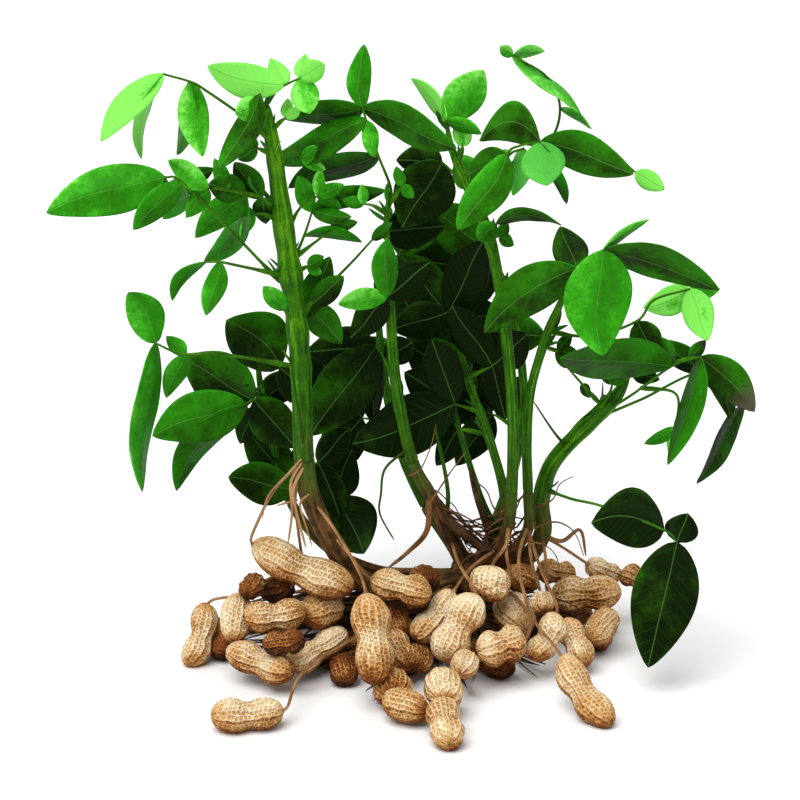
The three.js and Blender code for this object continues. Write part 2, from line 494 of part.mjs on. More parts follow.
function bladeSolid(pose) {
  const stations = pose.length < SMALL_BLADE ? [0.3, 0.74] : [0.2, 0.52, 0.83];
  const rows = [[bladePoint(pose, 0, 0)]];
  stations.forEach((t) => rows.push([-1, 0, 1].map((across) => bladePoint(pose, t, across))));
  rows.push([bladePoint(pose, 1, 0)]);
  const upper = rows.flat();
  const half = pose.face.clone().multiplyScalar(BLADE_THICKNESS / 2);
  const points = [...upper.map((p) => p.clone().add(half)), ...upper.map((p) => p.clone().sub(half))];
  const under = upper.length;
  const corners = [];
  const last = upper.length - 1;
  function bothFaces(a, b, c) {
    corners.push(a, b, c, under + a, under + c, under + b);
  }
  function rim(a, b) {
    corners.push(a, under + a, under + b, a, under + b, b);
  }
  bothFaces(0, 2, 1);
  bothFaces(0, 3, 2);
  for (let row = 0; row < stations.length - 1; row += 1) {
    const a = 1 + row * 3;
    bothFaces(a, a + 1, a + 3);
    bothFaces(a + 1, a + 4, a + 3);
    bothFaces(a + 1, a + 2, a + 5);
    bothFaces(a + 1, a + 5, a + 4);
    rim(a + 3, a);
    rim(a + 2, a + 5);
  }
  const end = 1 + (stations.length - 1) * 3;
  bothFaces(end, end + 1, last);
  bothFaces(end + 1, end + 2, last);
  rim(1, 0);
  rim(0, 3);
  rim(last, end);
  rim(end + 2, last);
  const geometry = new THREE.BufferGeometry().setFromPoints(points);
  geometry.setIndex(corners);
  return outward(solidOf(geometry), geometry);
}

// The same solid, turned inside out where its faces point in
function outward(solid, geometry) {
  if (solid.volume() > 0) return solid;
  const flipped = geometry.clone();
  const index = flipped.index.array;
  for (let i = 0; i < index.length; i += 3) [index[i], index[i + 1]] = [index[i + 1], index[i]];
  return solidOf(flipped);
}

// Points spread over a blade, to keep other pieces clear of it
function bladeSamples(pose) {
  const rows = Math.ceil(pose.length / 4);
  const samples = [];
  for (let i = 1; i <= rows; i += 1) {
    const t = i / rows;
    const columns = Math.ceil(pose.halfWidth * bladeOutline(t) / 4);
    for (let j = -columns; j <= columns; j += 1) {
      samples.push({ point: bladePoint(pose, t, columns ? j / columns : 0), t, radius: 0 });
    }
  }
  return samples;
}

// Points along a tube, with its radius
function tubeSamples(curve, radiusAt) {
  const count = Math.ceil(curve.getLength() / 3);
  return Array.from({ length: count + 1 }, (_, i) => ({
    point: curve.getPoint(i / count), t: i / count, radius: radiusAt(i / count),
  }));
}

// The least room between some samples and what is in place already
function room(samples, placed, stem, leaf) {
  let least = Infinity;
  for (const sample of samples) {
    for (const other of placed) {
      const sameLeaf = other.leaf === leaf;
      if (sameLeaf && (sample.t < 0.45 || other.t < 0.45)) continue;
      if (other.stem === stem && (other.tube || sample.t < 0.3)) continue;
      const gap = sample.point.distanceTo(other.point) - other.radius - sample.radius;
      if (gap < least) least = gap;
    }
  }
  return least;
}

// 0, then one step forward, one back, two forward and so on
function steps(count, size) {
  const list = [0];
  for (let k = 1; k <= count; k += 1) list.push(-k * size, k * size);
  return list;
}

// Of several trials, the first with enough room, or else the one with the most
function roomiest(trials, measure, enough) {
  let best = null;
  for (const trial of trials) {
    const space = measure(trial);
    if (best === null || space > best.space) best = { trial, space };
    if (space >= enough) return trial;
  }
  return best.trial;
}

function petioleCurve(leaf, shift) {
  const count = leaf.route.length - 1;
  return smoothCurve(leaf.route.map(([x, y, depth], i) => seen(x, y, depth + shift * i / count)));
}

function petioleRadius(u) {
  return PETIOLE_RADIUS.foot + (PETIOLE_RADIUS.end - PETIOLE_RADIUS.foot) * u;
}

// Every leaf in its place, clear of the other stems and of the leaves placed before it
function placeLeaves() {
  const placed = [];
  STEMS.forEach((stem) => tubeSamples(stemCurve(stem), stemRadius(stem)).forEach((sample) => {
    placed.push({ ...sample, stem: stem.name, leaf: -1, tube: true });
  }));
  return LEAVES.map((leaf, number) => {
    const owner = { stem: leaf.stem, leaf: number };
    const shift = roomiest(steps(6, LEAN_STEP), (trial) => room(
      tubeSamples(petioleCurve(leaf, trial), petioleRadius), placed, leaf.stem, number,
    ), PETIOLE_CLEARANCE);
    const petiole = petioleCurve(leaf, shift);
    tubeSamples(petiole, petioleRadius).forEach((sample) => {
      placed.push({ ...sample, ...owner, tube: true });
    });
    const count = leaf.route.length - 1;
    const blades = leaf.leaflets.map((leaflet, order) => {
      const [at, , , , lean] = leaflet;
      const footDepth = leaf.route[at][2] + shift * at / count;
      const foot = petiole.getPoint(at / count);
      const turn = order % 2 ? 1 : -1;
      const poses = steps(LEAN_TRIES, LEAN_STEP)
        .map((more) => bladePose(foot, leaflet, footDepth, lean + more, turn));
      const pose = roomiest(poses, (trial) => room(
        bladeSamples(trial), placed, leaf.stem, number,
      ), BLADE_CLEARANCE);
      bladeSamples(pose).forEach((sample) => placed.push({ ...sample, ...owner, tube: false }));
      return pose;
    });
    return { leaf, petiole, blades };
  });
}

// Two stipules at a petiole's foot, along the petiole
function stipuleSolids(petiole) {
  const foot = petiole.getPoint(0);
  const along = petiole.getTangent(0);
  return [-1, 1].map((hand) => {
    const form = new THREE.ConeGeometry(STIPULE.radius, STIPULE.length, 3);
    form.translate(0, STIPULE.length / 2, 0);
    form.scale(1, 1, STIPULE.flatness);
    const aim = along.clone().add(new THREE.Vector3(0.35 * hand, -0.2, 0.75)).normalize();
    form.applyQuaternion(new THREE.Quaternion().setFromUnitVectors(new THREE.Vector3(0, 1, 0), aim));
    form.translate(foot.x, foot.y, foot.z);
    return solidOf(form);
  });
}

function leafSolid({ leaf, petiole, blades }) {
  const stalk = tubeSolid(petiole, 0, 1, petioleRadius, PETIOLE_SIDES, leaf.route.length - 1);
  const stipules = STIPULED.includes(leaf.stem) ? stipuleSolids(petiole) : [];
  return fuse([stalk, ...stipules, ...blades.map(bladeSolid)]);
}

// Pods. Half the width of a pod along its length, where the widest is 1
function podOutline(t, seeds) {
  const body = (1 - Math.abs(2 * t - 1) ** 2.6) ** (1 / 2.2);
  const waist = seeds === 2 ? POD_WAIST * Math.exp(-(((t - 0.5) / 0.14) ** 2)) : 0;
  return body * (1 - waist);
}

// A pod between two ends, bowed sideways
function podPose(pod, from, to) {
  const along = to.clone().sub(from);
  const length = along.length();
  along.normalize();
  const sight = from.clone().sub(eye).normalize();
  const side = along.clone().cross(sight).normalize();
  return { from, along, side, other: along.clone().cross(side), length,
    radius: pod.halfWidth, bow: (pod.bow || 0) * MM_PER_PIXEL, seeds: pod.seeds };
}

function podMiddle(pose, t) {
  return pose.from.clone().addScaledVector(pose.along, pose.length * t)
    .addScaledVector(pose.side, pose.bow * 4 * t * (1 - t));
}

// The pod as a chain of balls that hardly pass its blunt ends
function podChain(pose) {
  return Array.from({ length: CHAIN_LINKS }, (_, i) => {
    const t = (i + 0.5) / CHAIN_LINKS;
    const toTip = Math.min(t, 1 - t) * pose.length * POD_BLUNTNESS;
    return { point: podMiddle(pose, t),
      radius: Math.min(toTip, pose.radius * podOutline(t, pose.seeds)) };
  });
}

function chainRoom(chain, others) {
  let least = Infinity;
  for (const link of chain) {
    for (const other of others) {
      least = Math.min(least, link.point.distanceTo(other.point) - link.radius - other.radius);
    }
  }
  return least;
}

function lowest(chain) {
  return Math.min(...chain.map((link) => link.point.z - link.radius));
}

function blocked(chain, others) {
  return lowest(chain) < -POD_SUNK || chainRoom(chain, others) < POD_CLEARANCE;
}

// The place along the sight line where a pod lies on the ground
function lyingPose(at) {
  let depth = -LYING_REACH;
  while (lowest(podChain(at(depth + LYING_STEP))) > -POD_SUNK) depth += LYING_STEP;
  return at(depth);
}

// The place along the sight line where a pod comes closest to those already there
function seatedPose(at, depth, placed) {
  let best = { cost: Infinity };
  for (const shift of steps(POD_TRIES, POD_STEP)) {
    const pose = at(depth + shift);
    const chain = podChain(pose);
    if (!blocked(chain, placed)) {
      const cost = Math.max(0, chainRoom(chain, placed) - POD_NEAR) + Math.abs(shift) * POD_DRIFT;
      if (cost < best.cost) best = { cost, pose };
    }
  }
  return best.pose;
}

// The way from a group of pods to its nearest neighbour
function nearestWay(chain, others) {
  let best = { gap: Infinity };
  for (const link of chain) {
    for (const other of others) {
      const way = other.point.clone().sub(link.point);
      const gap = way.length() - link.radius - other.radius;
      if (gap < best.gap) best = { gap, way };
    }
  }
  return best;
}

// A pod made a little larger all round
function swollen(pose, margin) {
  return { ...pose, from: pose.from.clone().addScaledVector(pose.along, -margin),
    length: pose.length + 2 * margin, radius: pose.radius + margin };
}

function boxed(solid) {
  const { min, max } = solid.boundingBox();
  return { solid, box: new THREE.Box3(new THREE.Vector3(...min), new THREE.Vector3(...max)) };
}

// True if a pod comes within the margin of any of the other bodies
function touches(pose, margin, others) {
  const large = boxed(podSolid(swollen(pose, margin)));
  return others.some((other) => large.box.intersectsBox(other.box)
    && !large.solid.intersect(other.solid).isEmpty());
}

// Pods that touch one another, as lists of names
function touchingGroups(poses, bodies) {
  const groups = [];
  Object.keys(poses).forEach((name) => {
    const touched = groups.filter((group) => (
      touches(poses[name], POD_TOUCH, group.map((member) => bodies[member]))));
    touched.forEach((group) => groups.splice(groups.indexOf(group), 1));
    groups.push([name, ...touched.flat()]);
  });
  return groups;
}

// Moves a group of pods along a way until it touches what it is moved to
function closeUp(group, way, reach, poses, obstacles) {
  for (let moved = 0; moved < reach; moved += GATHER_STEP) {
    group.forEach((name) => poses[name].from.add(way));
    const sunk = group.some((name) => lowest(podChain(poses[name])) < -POD_SUNK - GATHER_STEP);
    if (sunk || group.some((name) => touches(poses[name], NODE_GAP, obstacles))) {
      group.forEach((name) => poses[name].from.sub(way));
      return;
    }
  }
}

// Closes every loose group of pods up to the heap that hangs on the crown
function gather(poses) {
  const core = boxed(fuse(crownCore()));
  const bodies = {};
  Object.keys(poses).forEach((name) => {
    bodies[name] = boxed(podSolid(poses[name]));
  });
  const pegged = PEGS.map((peg) => peg.pod);
  const chainOf = (names) => names.flatMap((name) => podChain(poses[name]));
  const roots = rootBalls();
  const carried = (group) => group.some((name) => pegged.includes(name)
    || touches(poses[name], POD_TOUCH, [core]));
  const groups = touchingGroups(poses, bodies);
  const heap = groups.filter(carried).flat();
  let loose = groups.filter((group) => !heap.includes(group[0]));
  while (loose.length > 0) {
    const ways = loose.map((group) => nearestWay(chainOf(group), [...chainOf(heap), ...roots]));
    const first = ways.indexOf(ways.reduce((a, b) => (b.gap < a.gap ? b : a)));
    const group = loose[first];
    const { way } = ways[first];
    const hidden = group.some((name) => GROUND_PODS.some((pod) => pod.name === name));
    if (hidden || group.some((name) => LYING_PODS.includes(name))) way.z = 0;
    way.setLength(GATHER_STEP);
    const others = Object.keys(poses).filter((name) => !group.includes(name));
    const obstacles = [core, ...others.map((name) => bodies[name])];
    closeUp(group, way, hidden ? HIDDEN_REACH : GATHER_REACH, poses, obstacles);
    group.forEach((name) => {
      bodies[name] = boxed(podSolid(poses[name]));
    });
    heap.push(...group);
    loose = loose.filter((other) => other !== group);
  }
}

// The brown stems and the taproot as balls
function rootBalls() {
  const balls = [];
  STEMS.forEach((stem) => {
    const curve = stemCurve(stem);
    tubeSamples(curve, stemRadius(stem)).forEach((sample) => balls.push(sample));
  });
  tubeSamples(taprootCurve(), taprootRadius).forEach((sample) => balls.push(sample));
  return balls;
}

function placePods() {
  const placed = rootBalls();
  const poses = {};
  GROUND_PODS.forEach((spec) => {
    const pod = { ...spec, halfWidth: spec.width / 2 };
    const heading = THREE.MathUtils.degToRad(pod.heading);
    const half = new THREE.Vector3(Math.cos(heading), Math.sin(heading), 0)
      .multiplyScalar(pod.length / 2);
    const at = (y) => {
      const middle = new THREE.Vector3(pod.x, y, pod.halfWidth - POD_SUNK);
      return podPose(pod, middle.clone().sub(half), middle.clone().add(half));
    };
    let y = pod.y;
    while (chainRoom(podChain(at(y)), placed) < POD_CLEARANCE) y += POD_STEP;
    poses[pod.name] = at(y);
    placed.push(...podChain(poses[pod.name]));
  });
  const inView = PODS.map((spec) => {
    const pod = { ...spec, halfWidth: spec.width * MM_PER_PIXEL / 2 * POD_PLUMP };
    const at = (depth) => podPose(pod, seen(...pod.from, depth - pod.lean / 2),
      seen(...pod.to, depth + pod.lean / 2));
    return { name: pod.name, depth: pod.depth, at };
  });
  inView.filter(({ name }) => LYING_PODS.includes(name)).forEach(({ name, at }) => {
    poses[name] = lyingPose(at);
    placed.push(...podChain(poses[name]));
  });
  const others = inView.filter(({ name }) => !LYING_PODS.includes(name));
  others.reverse().forEach(({ name, depth, at }) => {
    poses[name] = seatedPose(at, depth, placed);
    placed.push(...podChain(poses[name]));
  });
  gather(poses);
  return poses;
}

// A ridged pod: ribs along it and a raised net between them
function podSolid(pose) {
  const plain = pose.seeds === 1 ? ONE_SEED_POD : TWO_SEED_POD;
  const { sides, rings } = pose.radius < BIG_POD_RADIUS ? plain : BIG_POD;
  const profile = [];
  for (let ring = 0; ring <= rings; ring += 1) {
    const t = (1 - Math.cos(Math.PI * ring / rings)) / 2;
    const inside = ring > 0 && ring < rings;
    profile.push(new THREE.Vector2(inside ? podOutline(t, pose.seeds) : 0, t));
  }
  const form = new THREE.LatheGeometry(profile, sides);
  const position = form.attributes.position;
  const rows = rings + 1;
  for (let i = 0; i < position.count; i += 1) {
    const ring = i % rows;
    const side = Math.floor(i / rows) % sides;
    const rib = side % 2 ? -POD_RIDGE : POD_RIDGE;
    const knot = (side + ring * 3) % 4 < 2 ? POD_NET : -POD_NET;
    const size = pose.radius * (1 + rib + knot);
    const middle = podMiddle(pose, position.getY(i))
      .addScaledVector(pose.side, position.getX(i) * size)
      .addScaledVector(pose.other, position.getZ(i) * size);
    position.setXYZ(i, middle.x, middle.y, middle.z);
  }
  return outward(solidOf(form), form);
}

// Everything below the ground, to cut the small flat spots that the pods rest on
function groundSolid() {
  const block = new THREE.BoxGeometry(1000, 1000, 100);
  block.translate(0, 0, -50);
  return solidOf(block);
}

// Root crown
function taprootCurve() {
  const top = seen(...CROWN_HEAD.at);
  const foot = new THREE.Vector3(top.x - 4, top.y + 3, TAPROOT.foot);
  return smoothCurve([top, top.clone().lerp(foot, 0.5).add(new THREE.Vector3(2, 0, 0)), foot]);
}

function taprootRadius(u) {
  return TAPROOT.top + (TAPROOT.tip - TAPROOT.top) * u;
}

function crownHead() {
  const form = new THREE.SphereGeometry(CROWN_HEAD.radius, 10, 6);
  form.rotateX(Math.PI / 2);
  form.scale(1.25, 0.9, CROWN_HEAD.height / 2 / CROWN_HEAD.radius);
  const middle = seen(...CROWN_HEAD.at);
  form.translate(middle.x, middle.y, middle.z);
  return solidOf(form);
}

// A peg's way to its pod, pushed clear of every pod like a taut string
function pegCurve(peg, poses) {
  const pose = poses[peg.pod];
  const end = pose.from.clone().addScaledVector(pose.along, -PEG_GAP);
  const points = peg.route.map((place) => seen(...place));
  points.push(end.clone().addScaledVector(pose.along, -4), end);
  const fine = smoothCurve(points).getPoints((points.length - 1) * 2);
  const own = podChain(pose);
  const others = Object.values(poses).filter((other) => other !== pose).flatMap(podChain);
  for (let round = 0; round < PEG_ROUNDS; round += 1) {
    const before = fine.map((point) => point.clone());
    for (let i = 1; i < fine.length - 1; i += 1) {
      const between = before[i - 1].clone().add(before[i + 1]).multiplyScalar(0.5);
      fine[i].lerp(between, PEG_PULL);
      const balls = i < fine.length - 4 ? [...others, ...own] : others;
      for (const ball of balls) {
        const away = fine[i].clone().sub(ball.point);
        const short = ball.radius + PEG_ROOM - away.length();
        if (short > 0) fine[i].addScaledVector(away.normalize(), short);
      }
    }
  }
  return smoothCurve(fine);
}

function crownCore() {
  return [...STEMS.map(brownStem), crownHead(),
    tubeSolid(taprootCurve(), 0, 1, taprootRadius, STEM_SIDES, 4)];
}

function crownSolid(poses) {
  const tubes = crownCore();
  PEGS.forEach((peg) => {
    const curve = pegCurve(peg, poses);
    tubes.push(tubeSolid(curve, 0, 1, () => PEG_RADIUS, PEG_SIDES, curve.points.length - 1));
  });
  SIDE_ROOTS.forEach((root) => {
    const curve = smoothCurve(root.route.map((place) => seen(...place)));
    const radiusAt = (u) => root.from + (root.to - root.from) * u;
    tubes.push(tubeSolid(curve, 0, 1, radiusAt, PEG_SIDES, (root.route.length - 1) * 2));
  });
  const crown = fuse(tubes);
  const grazed = Object.values(poses)
    .filter((pose) => !crown.intersect(podSolid(pose)).isEmpty());
  return grazed.reduce((whole, pose) => whole.subtract(podSolid(swollen(pose, NODE_GAP))), crown);
}

// The scene graph
const plant = new THREE.Group();
plant.name = 'peanut_plant';
plant.position.set(-PLAN_CENTRE.x, -PLAN_CENTRE.y, 0);

function addMesh(name, solid, colour, roughness) {
  const material = new THREE.MeshStandardMaterial({ color: colour, roughness, metalness: 0 });
  const mesh = new THREE.Mesh(geometryOf(solid), material);
  mesh.name = name;
  plant.add(mesh);
}

const leaves = placeLeaves();
STEMS.forEach((stem) => {
  const own = leaves.filter((placed) => placed.leaf.stem === stem.name).map(leafSolid);
  addMesh(stem.name, fuse([greenStem(stem), ...own]), COLOURS.leaf, 0.6);
});

const podPoses = placePods();
const ground = groundSolid();
addMesh('root_crown', crownSolid(podPoses), COLOURS.crown, 0.85);
Object.entries(podPoses).forEach(([name, pose]) => {
  addMesh(name, podSolid(pose).subtract(ground), COLOURS.pod, 0.85);
});

export default plant;
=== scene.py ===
"""Looks of an uprooted peanut plant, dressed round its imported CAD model.

Places on the plant are written as they are seen from the front: x and y in pixels of an
800 by 800 picture and the depth in millimetres, where a greater depth is further back.
Shapes are worked out in millimetres and turned into metres when their meshes are made.
"""

import logging
import math
from dataclasses import dataclass, field, replace
from enum import Enum
from functools import partial
from typing import Callable, Iterable, Optional, Sequence, Union

import bpy
import numpy as np
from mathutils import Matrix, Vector, kdtree

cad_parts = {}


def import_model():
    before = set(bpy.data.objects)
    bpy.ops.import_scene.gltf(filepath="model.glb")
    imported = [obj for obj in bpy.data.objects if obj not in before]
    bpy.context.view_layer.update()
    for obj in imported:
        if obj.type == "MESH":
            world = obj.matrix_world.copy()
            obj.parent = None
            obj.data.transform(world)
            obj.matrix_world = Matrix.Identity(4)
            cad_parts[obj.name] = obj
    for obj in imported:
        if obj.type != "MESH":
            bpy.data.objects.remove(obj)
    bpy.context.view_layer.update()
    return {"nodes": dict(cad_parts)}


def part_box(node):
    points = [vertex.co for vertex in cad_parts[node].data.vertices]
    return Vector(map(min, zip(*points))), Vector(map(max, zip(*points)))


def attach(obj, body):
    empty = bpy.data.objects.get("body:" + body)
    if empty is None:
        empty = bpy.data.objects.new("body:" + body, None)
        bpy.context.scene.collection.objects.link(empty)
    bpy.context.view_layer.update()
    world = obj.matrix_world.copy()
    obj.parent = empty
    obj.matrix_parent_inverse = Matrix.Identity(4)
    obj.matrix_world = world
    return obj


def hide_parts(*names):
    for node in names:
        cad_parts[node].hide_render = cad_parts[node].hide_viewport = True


LOG = logging.getLogger("peanut_plant")

Array = np.ndarray
Numbers = Union[float, np.ndarray]
Piece = bpy.types.Object
Pair = tuple[float, float]
Row = tuple[float, ...]
Place = tuple[float, float, float]
Colour = tuple[float, float, float]
Ramp = tuple[tuple[float, Colour], ...]
Value = Union["Wire", bpy.types.NodeSocket, float, str, tuple, bpy.types.Material, None]

MILLIMETRE = 0.001
PLAN_CENTRE = np.array([4.4, 11.2, 0.0])
HEAD: Place = (470, 574, 42)


# Plans: what grows where


class Tone(Enum):
    """How light the green of a leaflet is painted, by the letter that the leaf plans use. Deep and dark
    leaflets are partly painted shade, for leaves in shade inside the plant, and lime is partly painted
    light on the top leaves.
    """

    # painted shade: the deep tone, and partly the dark one, stand for the shade inside the plant
    DEEP = "k"
    DARK = "d"
    MID = "m"
    BRIGHT = "b"
    LIME = "l"
    PALE = "p"
    WITHERED = "w"

    @property
    def level(self) -> float:
        """Place of the tone on the leaf colour ramp."""
        return {Tone.DEEP: -0.04, Tone.DARK: 0.2, Tone.MID: 0.47, Tone.BRIGHT: 0.67,
                Tone.LIME: 0.98, Tone.PALE: 0.66, Tone.WITHERED: 0.3}[self]


@dataclass(frozen=True)
class Stem:
    """A leafy stem: its name, radii, the route point where it turns green, and its route."""

    name: str
    foot: float
    top: float
    green: int
    route: tuple[Place, ...]


@dataclass(frozen=True)
class Leaf:
    """A leaf: a tone letter for each leaflet, its route, and its leaflets.

    Each leaflet holds the number of the route point it grows from, the x and y of its tip,
    its width as seen, how much deeper its tip lies than its foot, and its sideways bow if any.
    """

    tones: str
    route: tuple[Place, ...]
    leaflets: tuple[Row, ...]


@dataclass(frozen=True)
class Pod:
    """A pod: the end on its peg, its far end, width, lean, seeds and sideways bow.

    The lean is how much deeper its far end lies. Its own depth is found from its CAD node.
    """

    name: str
    start: Pair
    end: Pair
    width: float
    lean: float
    seeds: int
    bow: float = 0.0


@dataclass(frozen=True)
class HiddenPod:
    """A pod at the back or under the heap: its name, heading in degrees, length and width."""

    name: str
    heading: float
    length: float
    width: float


@dataclass(frozen=True)
class Peg:
    """A peg: the pod at its end and the route that it takes there."""

    pod: str
    route: tuple[Place, ...]


@dataclass(frozen=True)
class Thread:
    """A side root, a twig or a bare shoot: its radius at its foot and at its tip, and its route."""

    foot: float
    tip: float
    route: tuple[Place, ...]


STEMS: tuple[Stem, ...] = (
    Stem("stem_left", 5.4, 4.6, 4, (HEAD, (400, 592, 24), (350, 570, 10), (313, 505, 0), (304, 458, -4),
        (301, 370, -6), (294, 300, -6), (284, 230, -4), (275, 160, 0), (266, 104, 2))),
    Stem("stem_left_back", 3.4, 2, 4, (HEAD, (425, 574, 48), (375, 570, 48), (325, 545, 46),
        (290, 500, 46), (272, 440, 46), (262, 395, 44), (256, 350, 42))),
    Stem("stem_centre_left", 4.6, 2.2, 4, (HEAD, (452, 540, 34), (440, 515, 28), (428, 492, 24),
        (412, 460, 20), (396, 385, 16), (390, 300, 14), (386, 205, 16))),
    Stem("stem_centre", 3, 1.8, 2, (HEAD, (500, 535, 36), (504, 495, 34), (490, 440, 36), (470, 385, 40),
        (452, 320, 44))),
    Stem("stem_centre_right", 3.2, 2.4, 3, (HEAD, (496, 550, 30), (508, 525, 18), (512, 490, 8),
        (513, 415, 0), (507, 340, -2), (497, 270, 0), (487, 230, 2), (472, 195, 4), (453, 152, 6),
        (447, 126, 6))),
    Stem("stem_right", 3.2, 1.8, 3, (HEAD, (510, 552, 38), (528, 528, 30), (528, 490, 20), (527, 443, 12),
        (531, 390, 2), (547, 335, -8), (562, 300, -16), (575, 270, -24))),
    Stem("stem_far_right", 4.9, 3.6, 3, (HEAD, (520, 562, 44), (542, 535, 40), (541, 500, 34),
        (552, 464, 28), (582, 430, 22), (614, 399, 16), (628, 376, 12))),
    Stem("stem_back_left", 3.2, 2, 2, (HEAD, (448, 540, 62), (425, 505, 74), (402, 455, 84),
        (388, 400, 90), (380, 340, 94), (376, 280, 96))),
    Stem("stem_back_right", 3.2, 2, 2, (HEAD, (486, 545, 62), (500, 510, 74), (516, 460, 84),
        (524, 400, 90), (518, 340, 94), (506, 275, 96))),
)

